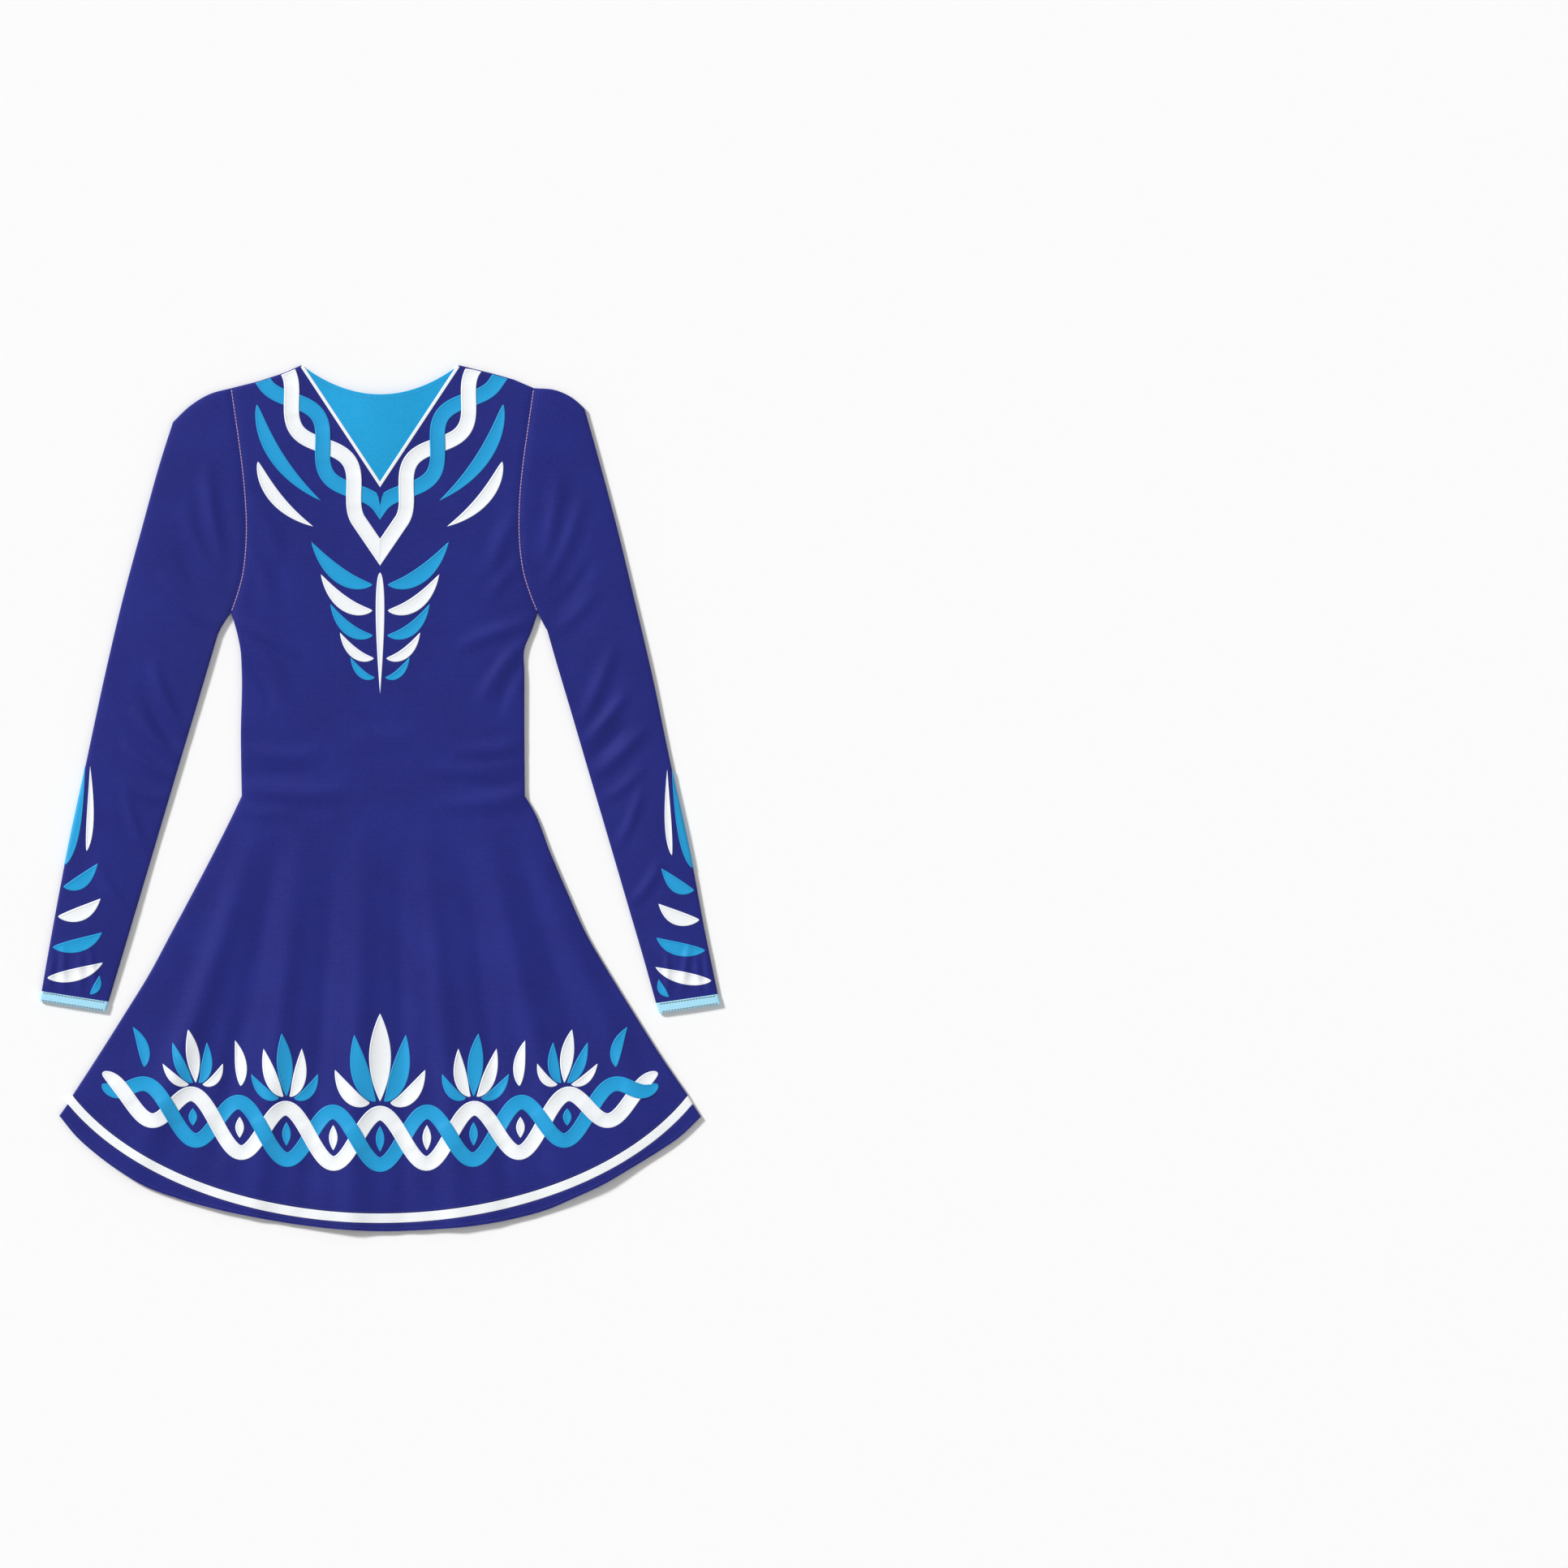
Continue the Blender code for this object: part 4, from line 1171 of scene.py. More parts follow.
@dataclass(frozen=True)
class Sleeve:
    """One sleeve as a flattened tube, and its cuff band."""

    form: Form
    finishes: Finishes
    side: Side
    cap_rows: int = 20
    arm_rows: int = 132
    middle_columns: int = 42
    cuff_rows: int = 12
    seam_gap: float = 0.12  # half of the groove along the armhole seam
    cap_length: float = 70.0
    arm_length: float = 620.0
    cuff_length: float = 10.5
    cuff_start: float = 0.012  # the elastic starts this share of its length below the sleeve's end
    cuff_wall: float = 1.2
    cuff_proud: float = 0.5  # the elastic is this much thicker over each layer
    flat: Point = (0.37, 0.62)
    area: float = 0.115
    cuff_flat: Point = (0.145, 0.0105)

    def edges(self) -> tuple[Array, Array]:
        """The outer fold and the underarm seam, each from the armhole to the cuff."""
        cut = self.form.cut
        corner, end = cut.cap_rows - 1, cut.cuff_row
        cap = graded(self.cap_length, self.cap_rows, far=False)
        arm = graded(self.arm_length, self.arm_rows, near=False)
        first = cut.sleeve_edges(self.side, cap, 0, corner)
        second = cut.sleeve_edges(self.side, arm, corner, end)
        return tuple(np.concatenate([a, b[1:]]) for a, b in zip(first, second))

    def places(self, lengths: Array, inset: Array) -> Array:
        """Places across each section, close together at both folds and even between."""
        room = (lengths - 2 * inset)[:, None]
        between_folds = np.linspace(0, 1, self.middle_columns + 2)[None, 1:-1]
        last = FOLD_STEPS[-1]
        steps = np.repeat(FOLD_STEPS[None], len(lengths), axis=0)
        even = last + (room - 2 * last) * between_folds
        return np.concatenate([steps, even, room - steps[:, ::-1]], axis=1) + inset[:, None]

    def plan(self, outer: Array, inner: Array, start: Array | None, shares: Array) -> Array:
        """Plan points across each section; the first follows the armhole, whose bend fades out below."""
        u = shares[..., None]
        straight = (1 - u) * outer[:, None] + u * inner[:, None]
        if start is None:
            return straight
        lengths = run_lengths((outer + inner) / 2)
        fade = (1 - lengths / lengths[-1])[:, None, None]
        armhole = spline(start, shares.reshape(-1)).reshape(straight.shape)
        return straight + fade * (armhole - ((1 - u) * outer[0] + u * inner[0]))

    def ring(self, plan: Array, places: Array, depth: Array, proud: float = 0.0) -> Array:
        """Points round the flattened tube, over its upper side and back under its lower side.

        Both sides leave the middle height at a fold by a quarter circle's share of the distance from it.

        Args:
            plan: rows by places of plan points.
            places: distances across each section.
            depth: how far each row lies inside the outer face.
            proud: how far the outer face stands out past the dress's own.

        Returns:
            Rows by points round the tube.
        """
        form = self.form
        middle, depth = form.middle, depth[:, None]
        inset = np.minimum(places - places[:, :1], places[:, -1:] - places)
        swell = rounded(inset / (middle - depth))
        upper = middle + (form.top(plan) + proud - depth - middle) * swell
        lower = middle - (middle - form.bottom(plan) - depth) * swell
        return np.concatenate([at_height(plan, upper), at_height(plan, lower)[:, -2:0:-1]], axis=1)

    def tube(
        self, outer: Array, inner: Array, start: Array | None, wall: float, proud: float = 0.0
    ) -> Surface:
        """A closed shell between two edges, open at both ends, whose ends are rounded.

        Args:
            outer: the outer fold.
            inner: the underarm seam.
            start: the seam that the first section follows, or none where it is straight.
            wall: the shell's thickness.
            proud: how far it stands out past the dress's own face.

        Returns:
            The shell.
        """
        lengths = np.linalg.norm(outer - inner, axis=1)
        down = run_lengths((outer + inner) / 2)
        end = 1 - rounded(np.minimum(down, down[-1] - down) / (wall / 2))
        rings, uv = [], None
        for depth in (wall / 2 * end, wall - wall / 2 * end):
            places = self.places(lengths, depth)
            plan = self.plan(outer, inner, start, places / lengths[:, None])
            rings.append(self.ring(plan, places, depth, proud))
            if uv is None:
                around = np.concatenate([places, -places[:, -2:0:-1]], axis=1)
                uv = np.stack([around, np.repeat(-down[:, None], around.shape[1], axis=1)], axis=-1)
        return shell(*rings, uv, closed=True)

    def make(self) -> list[Object]:
        """Builds the sleeve and its cuff band."""
        cut, name = self.form.cut, self.side.name.lower()
        shift = self.seam_gap * self.side.value
        outer, inner = self.edges()
        outer[0, 0] += shift
        inner[0, 0] += shift
        seam = cut.armhole(self.side) + np.array([shift, 0.0])
        tube = self.tube(outer, inner, seam, self.form.wall)
        stands_for = (f"{name}_sleeve",)
        sleeve = make_piece(f"{name}_sleeve_cloth", tube, self.finishes.navy, "dress_knit", stands_for)

        shares = self.cuff_start + (1 - self.cuff_start) * graded(self.cuff_length, self.cuff_rows)
        ends = cut.sleeve_edges(self.side, shares, cut.cuff_row, cut.cuff_row + 1)
        band = self.tube(*ends, None, self.cuff_wall, self.cuff_proud)
        stands_for = (f"{name}_cuff_band",)
        cuff = make_piece(f"{name}_cuff_elastic", band, self.finishes.elastic, "cuff_elastic", stands_for)
        return [sleeve, cuff]

    def stitches(self) -> Object:
        """Grey overlock stitches along both edges of the cuff band, round the whole of it."""
        cut = self.form.cut
        ground = sleeve_ground(self.form, self.side, cut.cuff_row, cut.cuff_row + 1, self.cuff_proud)
        ends = cut.sleeve_rows(self.side)[-1].reshape(2, 2)
        width = float(np.linalg.norm(ends[0] - ends[1]))
        overlock = Stitching(2.9, 3.1, 1.3, 0.5)
        heights = (1.3, 9.3)
        clear = 2.0  # what stays free of stitches at each fold
        surfaces = []
        for sign in (-1, 1):
            round_fold = np.linspace(clear, width - clear, 30) * sign
            lines = [np.stack([round_fold, 0 * round_fold + up], axis=-1) for up in heights]
            surfaces += [overlock.surface(line, ground) for line in lines]
        name = f"{self.side.name.lower()}_cuff_stitches"
        return make_piece(name, joined(surfaces), self.finishes.grey_thread, "cuff_elastic")


# Trims sewn on the cloth


@dataclass(frozen=True)
class Ground:
    """Cloth that trims are laid on: where its flat places lie in space, and which way is outwards."""

    place: Mapping
    outward: float

    def lay(self, flat: Array, height: Array) -> Array:
        """Points at a height above the cloth, along the cross product of the cloth's two directions.

        Args:
            flat: places in the cloth, in an array of any shape.
            height: how far above the cloth each one is.

        Returns:
            The points in space.
        """
        reach = 0.4
        spots = flat.reshape(-1, 2)
        here = self.place(spots)
        across = self.place(spots + [reach, 0]) - here
        along = self.place(spots + [0, reach]) - here
        normal = unit(np.cross(across, along) * self.outward)
        raised = here + normal * np.asarray(height).reshape(-1, 1)
        return raised.reshape(flat.shape[:-1] + (3,))


def body_ground(form: Form, layer: Layer) -> Ground:
    """The front or the back, whose flat places are plan points."""

    def place(plan: Array) -> Array:
        """The plan point at the height of the layer's outer face."""
        return at_height(plan, form.face(layer, plan))

    return Ground(place, 1.0 if layer is Layer.FRONT else -1.0)


def sleeve_ground(form: Form, side: Side, first: int, last: int, proud: float = 0.0) -> Ground:
    """A sleeve, whose flat places are (distance round from the outer fold, distance up from its last row).

    The first is above 0 on the upper side and below 0 on the lower side.

    Args:
        form: how the dress lies.
        side: which sleeve.
        first: the sleeve row that the ground starts at.
        last: the row that it ends at.
        proud: how far the ground stands out past the dress's own face.

    Returns:
        The ground.
    """
    outer, inner = form.cut.sleeve_edges(side, np.linspace(1, 0, 160), first, last)
    up = run_lengths(outer)

    def place(flat: Array) -> Array:
        """The point round the flattened tube, whose fold is a quarter circle above and one below."""
        fold, seam = (read_along(edge, up, flat[:, 1]) for edge in (outer, inner))
        round_fold = np.abs(flat[:, :1])
        plan = fold + unit(seam - fold) * np.maximum(round_fold - 0.3 * rounded(round_fold / 0.6), 0)
        swell = rounded(round_fold[:, 0] / form.middle)
        upper = form.middle + (form.top(plan) + proud - form.middle) * swell
        lower = form.middle - (form.middle - form.bottom(plan) + proud) * swell
        return at_height(plan, np.where(flat[:, 0] >= 0, upper, lower))

    return Ground(place, -float(side.value))


STITCHED_EDGE = np.array([0.0, 0.1, 0.4, 0.95, 1.75, 2.3])  # places in from an appliqué's edge
STITCHED_HEIGHT = np.array([-0.12, 0.26, 0.5, 0.58, 0.4, 0.3])  # its heights there
FIELD_COLUMNS = 3  # places across a strip's field, with both its borders
FOLD_COLUMNS = 19  # the same where the strip is folded
FOLD_CROWDING = 2.6  # the power that draws those together by the fold
MITRE_REACH = 24.0  # a mitred end's slant fades out over this length
PASSING_SLOPE = 8.0  # a strip rises over another one along this length
THINNEST = 0.05  # half the width that a tip ends in


@dataclass(frozen=True)
class Stroke:
    """A strip or leaf of satin: its middle line, its half width along it, and what it passes over."""

    line: Array
    half: Array
    over: Array | None = None  # extra height along the line, where it passes over another strip
    mitre: tuple[float, float] = (0.0, 0.0)  # how far the ends slant, for a millimetre across
    stitched_ends: tuple[bool, bool] = (True, True)
    folded: bool = False  # whether its middle line is the sleeve's outer fold

    def mirrored(self) -> "Stroke":
        """The same stroke on the other side of the middle."""
        flipped = self.line * np.array([-1.0, 1.0])
        mitre = (-self.mitre[0], -self.mitre[1])
        return Stroke(flipped, self.half, self.over, mitre, self.stitched_ends, self.folded)

    def surface(self, ground: Ground, step: float = 2.4) -> Surface:
        """The closed strip on its ground.

        Across it, each point is the middle line's point plus a distance along the line's normal; near a
        mitred end that distance also slides the point along the line. The height follows the stitched
        edge's profile in the distance from the nearest edge.

        Args:
            ground: the cloth that it lies on.
            step: the spacing of its sections.

        Returns:
            The surface.
        """
        lengths = run_lengths(self.line)
        total = lengths[-1]
        ends = STITCHED_EDGE[1:]
        even = np.linspace(ends[-1], total - ends[-1], max(6, round(total / step)))
        s = np.concatenate([[0.0], ends[:-1], even, total - ends[-2::-1], [total]])
        half = np.interp(s, lengths, self.half)[:, None]
        inset = STITCHED_EDGE[None] * np.minimum(1, half / (1.15 * STITCHED_EDGE[-1]))
        columns, power = (FOLD_COLUMNS, FOLD_CROWDING) if self.folded else (FIELD_COLUMNS, 1.0)
        between = np.linspace(-1, 1, columns)[None, 1:-1]
        field = (half - inset[:, -1:]) * np.sign(between) * np.abs(between) ** power
        across = np.concatenate([inset - half, field, (half - inset)[:, ::-1]], axis=1)
        reach = min(MITRE_REACH, total * 0.6)
        slant = self.mitre[0] * smooth(1 - s / reach) + self.mitre[1] * smooth(1 - (total - s) / reach)
        at = s[:, None] + across * slant[:, None]
        slopes = np.gradient(self.line, lengths, axis=0)
        point = read_along(self.line, lengths, at)
        slope = unit(read_along(slopes, lengths, at))
        past = np.where(at < 0, at, np.maximum(at - total, 0))[..., None]
        normal = np.stack([-slope[..., 1], slope[..., 0]], axis=-1)
        flat = point + past * slope + across[..., None] * normal
        edge = half - np.abs(across)
        if self.stitched_ends[0]:
            edge = np.minimum(edge, s[:, None])
        if self.stitched_ends[1]:
            edge = np.minimum(edge, total - s[:, None])
        raised = 0.0 if self.over is None else np.interp(at, lengths, self.over)
        height = np.interp(edge, STITCHED_EDGE, STITCHED_HEIGHT) + raised
        under = np.full(edge.shape, STITCHED_HEIGHT[0]) + raised
        uv = np.stack([at, across], axis=-1)
        made = shell(ground.lay(flat, height), ground.lay(flat, under), uv)
        spread = np.zeros(len(made.points))
        spread[: edge.size] = edge.reshape(-1)
        made.edge = spread
        return made


def strip(line: Array, half: float, tips: tuple[float, float] = (0.0, 0.0), **more) -> Stroke:
    """A strip of even width, whose ends taper over the given lengths as a quarter circle does."""
    along = run_lengths(line)
    width = np.full(len(line), half)
    for tip, gone in zip(tips, (along, along[-1] - along)):
        if tip:
            width = np.minimum(width, half * rounded(gone / tip))
    return Stroke(line, np.maximum(width, THINNEST), **more)


def leaf(
    start: Point, bend: Point, end: Point, half: float, fullest: float = 0.42, folded: bool = False
) -> Stroke:
    """A bowed leaf: its half width is sin(pi w), where w bends its widest place to a share of its length."""
    line = bow(start, bend, end, 41)
    share = run_lengths(line) / run_lengths(line)[-1]
    power = np.log(0.5) / np.log(fullest)
    return Stroke(line, np.maximum(half * np.sin(np.pi * share**power) ** 0.85, THINNEST), folded=folded)


def passing(along: Array, places: Array, reach: float, height: float = 0.62) -> Array:
    """Extra height of a strip near each place where it passes over another one."""
    near = smooth((reach - np.abs(along[:, None] - np.asarray(places)[None])) / PASSING_SLOPE)
    return height * near.max(axis=1, initial=0.0)


class Colour(Enum):
    """The two colours of satin."""

    WHITE = "white"
    SKY = "sky"


Strokes = dict[Colour, list[Stroke]]


def gathered(*parts: Strokes) -> Strokes:
    """The strokes of several parts, colour by colour."""
    return {colour: [stroke for part in parts for stroke in part.get(colour, [])] for colour in Colour}


def both_sides(part: Strokes) -> Strokes:
    """A part's strokes, followed by the same ones on the other side of the middle."""
    return {colour: found + [stroke.mirrored() for stroke in found] for colour, found in part.items()}


@dataclass(frozen=True)
class ChestTrim:
    """A two-strand twist along each side of the yoke, and a spray of leaves that hangs from its tip."""

    cut: Cut = Cut()
    top: Point = (-109.0, 894.6)
    foot: Point = (0.0, 735.0)
    swing: float = 13.5
    half: float = 8.0
    half_turns: int = 3
    crossing_reach: float = 18.5
    shoulder_gap: float = 0.9  # what stays clear below the shoulder seam
    opening: float = -0.2  # half of what stays clear in the middle; the two sides overlap where it is below 0

    def twist(self, side: Side) -> Strokes:
        """One side's two strands: a straight line plus and less swing times a cosine."""
        start, end = np.array(self.top), np.array(self.foot)
        total = float(np.linalg.norm(end - start))
        run = (end - start) / total
        normal = np.array([-run[1], run[0]])
        turned = total + self.swing * run[1] / run[0]
        crossings = turned * (np.arange(self.half_turns) + 0.5) / self.half_turns
        made: Strokes = {}
        for colour, sign in ((Colour.WHITE, 1.0), (Colour.SKY, -1.0)):
            s = np.linspace(-16, total + 40, 1200)
            offset = sign * self.swing * np.cos(self.half_turns * np.pi * np.clip(s / turned, 0, 1))
            line = (start + s[:, None] * run + offset[:, None] * normal) * [-side.value, 1]
            below = line[:, 1] < self.cut.shoulder_line(line[:, 0]) - self.shoulder_gap
            kept = below & (line[:, 0] * side.value > self.opening)
            s, line = s[kept], line[kept]
            spots = line[0, 0] + np.array([0.0, 3.0])
            seam = np.array([3.0, np.diff(self.cut.shoulder_line(spots))[0]])
            ends = (seam, line[1] - line[0]), (np.array([0.0, 1.0]), line[-1] - line[-2])
            mitre = tuple(np.dot(edge, way) / np.dot(edge, [-way[1], way[0]]) for edge, way in ends)
            own = crossings[0::2] if colour is Colour.WHITE else crossings[1::2]
            over = passing(s, own, self.crossing_reach)
            made[colour] = [strip(line, self.half, over=over, mitre=mitre, stitched_ends=(True, False))]
        return made

    def leaves(self) -> Strokes:
        """The left side's leaves: pairs down the spray, and two beside the twist."""
        white = [
            leaf((-8, 650), (-40, 646), (-62, 688), 7.4),
            leaf((-6.5, 600), (-28, 597), (-42, 627), 5.4),
            leaf((-128, 806), (-118, 762), (-70, 738), 6.8),
        ]
        sky = [
            leaf((-8, 677), (-44, 674), (-72, 722), 8.2),
            leaf((-7.5, 624), (-35, 620), (-52, 657), 6.4),
            leaf((-5.5, 580), (-20, 577), (-31, 601), 4.2),
            leaf((-129, 866), (-121, 806), (-62, 765), 7.6),
        ]
        return {Colour.WHITE: white, Colour.SKY: sky}

    def strokes(self) -> Strokes:
        """Both sides and the stem in the middle."""
        stem: Strokes = {Colour.WHITE: [leaf((0, 690), (0, 640), (0, 563), 4.6, 0.3)]}
        return gathered(stem, *(self.twist(side) for side in Side), both_sides(self.leaves()))


@dataclass(frozen=True)
class HemTrim:
    """A two-strand plait along the hem, with leaves in its eyes and a crown of leaves above it."""

    cut: Cut = Cut()
    above_stripe: float = 78.0
    closing: float = 30.0  # the plait comes this much nearer to the stripe at the next distance out
    closing_x: float = 300.0
    swing: float = 27.0
    half: float = 7.8
    wave: float = 98.0
    end_x: float = 291.0
    pinch_x: float = 306.0  # where the swing would reach 0, by the fifth power of x
    crossing_reach: float = 18.0

    def middle(self, x: Array) -> Array:
        """Height of the plait's middle line."""
        return self.cut.stripe_upper.height(x) + self.above_stripe - self.closing * (x / self.closing_x) ** 2

    def swing_at(self, x: Array | float) -> Array | float:
        """Half the height that the strands swing through."""
        return self.swing * (1 - (np.abs(x) / self.pinch_x) ** 5)

    def plait(self) -> Strokes:
        """Both strands: the middle line plus and less a cosine whose swing closes at the ends."""
        x = np.linspace(-self.end_x, self.end_x, 640)
        made: Strokes = {}
        for colour, sign in ((Colour.WHITE, 1.0), (Colour.SKY, -1.0)):
            y = self.middle(x) + sign * self.swing_at(x) * np.cos(2 * np.pi * x / self.wave)
            line = np.stack([x, y], axis=-1)
            crossings = self.wave * (np.arange(-6, 6) + 0.5) / 2
            own = crossings[0::2] if colour is Colour.WHITE else crossings[1::2]
            along = run_lengths(line)
            over = passing(along, np.interp(own, x, along), self.crossing_reach)
            made[colour] = [strip(line, self.half, (26.0, 26.0), over=over)]
        return made

    def eyes(self) -> Strokes:
        """A small upright leaf in each eye of the plait."""
        made: Strokes = {Colour.WHITE: [], Colour.SKY: []}
        for k in range(-4, 5):
            x = k * self.wave / 2
            y = float(self.middle(np.array(x)))
            tall = 13.5 * (1 - (abs(k) / 7) ** 2)
            colour = Colour.SKY if k % 2 == 0 else Colour.WHITE
            made[colour].append(leaf((x, y - tall), (x, y), (x, y + tall), 4.6, 0.5))
        return made

    def palmette(self, x: float, tall: float, wide: float, lean: float, first: Colour) -> Strokes:
        """A fan of five leaves that stands on the plait.

        Args:
            x: its middle.
            tall: the height of its middle leaf.
            wide: how far its second leaves reach to either side.
            lean: how far its top leans outwards.
            first: the colour of its middle and outermost leaves.

        Returns:
            The leaves of each colour.
        """
        base = float(self.middle(np.array(x))) + self.swing_at(x) + self.half + 4.5
        second = Colour.SKY if first is Colour.WHITE else Colour.WHITE
        top = (x + lean, base + tall)
        upright = leaf((x, base), (x + 0.2 * lean, base + tall / 2), top, 0.125 * tall, 0.5)
        made: Strokes = {first: [upright], second: []}
        # Colour, foot, its drop, bend, lean of the tip, tip and half width, in shares of wide and tall
        rows = (
            (second, 0.16, 0.0, (0.8, 0.12), 0.8, (1.0, 0.76), 0.105),
            (first, 0.4, 1.5, (1.2, -0.05), 0.4, (1.75, 0.36), 0.085),
        )
        for sign in (-1, 1):
            for colour, foot, drop, bend, leaning, tip, half in rows:
                low = (x + sign * foot * wide, base - drop)
                turn = (x + sign * bend[0] * wide, base + bend[1] * tall)
                end = (x + lean * leaning + sign * tip[0] * wide, base + tip[1] * tall)
                made[colour].append(leaf(low, turn, end, half * tall))
        return made

    def crown(self) -> Strokes:
        """The palmettes above the plait, with a single leaf between them."""
        white, sky = Colour.WHITE, Colour.SKY
        singles: Strokes = {white: [], sky: []}
        rows = [(0.0, 92.0, 27.0, 0.0, white)]
        for sign in (-1, 1):
            rows.append((sign * 98.0, 66.0, 20.0, sign * 5.0, sky))
            rows.append((sign * 193.0, 56.0, 18.0, sign * 8.0, white))
            singles[white].append(leaf((sign * 146, 152), (sign * 143, 176), (sign * 152, 200), 6.2))
            singles[sky].append(leaf((sign * 247, 172), (sign * 243, 192), (sign * 259, 214), 6.0))
        return gathered(singles, *(self.palmette(*row) for row in rows))

    def strokes(self) -> Strokes:
        """The plait, its eyes, and the palmettes."""
        return gathered(self.plait(), self.eyes(), self.crown())


@dataclass(frozen=True)
class SleeveTrim:
    """Leaves along the outer fold of the forearm, alike on both sides of the fold."""

    def strokes(self) -> Strokes:
        """Places are (distance round from the fold, distance up from the cuff)."""
        white = [
            leaf((4, 15), (37, 21), (60, 54), 7.2),
            leaf((4, 81), (31, 91), (50, 130), 6.6),
            leaf((24, 166), (25, 205), (7, 246), 5.4),
        ]
        sky = [
            leaf((4, 48), (35, 56), (56, 92), 7.0),
            leaf((4, 113), (26, 125), (41, 165), 6.0),
            leaf((51, 6), (59, 15), (58, 35), 4.0),
        ]
        fold: Strokes = {Colour.SKY: [leaf((0, 134), (0, 180), (0, 240), 11.0, 0.4, folded=True)]}
        return gathered(fold, both_sides({Colour.WHITE: white, Colour.SKY: sky}))


STITCH_ROUND = 6  # faces round a stitch
STITCH_SHAPE = np.array([(-1.0, 0.25), (-0.72, 0.8), (0.0, 1.0), (0.72, 0.8), (1.0, 0.25)])


@dataclass(frozen=True)
class Stitching:
    """A row of stitches along a line: each is a short rounded bar that dips into the cloth at its ends."""

    length: float = 3.0
    pitch: float = 3.5
    width: float = 0.8
    height: float = 0.45

    def surface(self, line: Array, ground: Ground) -> Surface:
        """All the stitches of a line.

        A point is the stitch's middle, plus its place along the stitch, plus an oval round it.

        Args:
            line: the seam, in the ground's flat places.
            ground: the cloth.

        Returns:
            The surface.
        """
        along = run_lengths(line)
        count = max(1, int((along[-1] - self.length) / self.pitch) + 1)
        spare = along[-1] - (count - 1) * self.pitch
        at = spare / 2 + self.pitch * np.arange(count)
        slopes = np.gradient(line, along, axis=0)
        spot = read_along(line, along, at)
        slope = unit(read_along(slopes, along, at))
        here = ground.lay(spot, np.zeros(count))
        ahead = unit(ground.lay(spot + slope, np.zeros(count)) - here)
        up = ground.lay(spot, np.ones(count)) - here
        over = np.cross(up, ahead)
        t, fat = STITCH_SHAPE[:, 0], STITCH_SHAPE[:, 1]
        angle = 2 * np.pi * np.arange(STITCH_ROUND) / STITCH_ROUND
        run = (t * self.length / 2)[None, :, None, None] * ahead[:, None, None]
        wide = (fat[:, None] * np.cos(angle))[None, :, :, None] * over[:, None, None] * self.width / 2
        rise = self.height * (0.55 * fat[:, None] * np.sin(angle) + 0.5 * (1 - t**2)[:, None] - 0.15)
        points = here[:, None, None] + run + wide + rise[None, :, :, None] * up[:, None, None]
        rings = len(t)
        last = np.array([(0, 1, 2, 3), (0, 3, 4, 5)])
        caps = [last[:, ::-1], last + (rings - 1) * STITCH_ROUND]
        one = np.concatenate([grid_faces(rings, STITCH_ROUND, closed=True), *caps])
        every = repeated(one, rings * STITCH_ROUND, count)
        shape = (count, rings, STITCH_ROUND)
        u = np.broadcast_to((t * self.length / 2)[None, :, None], shape)
        v = np.broadcast_to((angle * self.width / 2)[None, None, :], shape)
        uv = np.stack([u, v], axis=-1).reshape(-1, 2)
        return facing_out(Surface(points.reshape(-1, 3), every, uv))


def shifted(line: Array, aside: float) -> Array:
    """A line moved aside along its own normal, to the left of its direction where aside is above 0."""
    slope = unit(np.gradient(line, run_lengths(line), axis=0))
    return line + aside * np.stack([-slope[:, 1], slope[:, 0]], axis=-1)


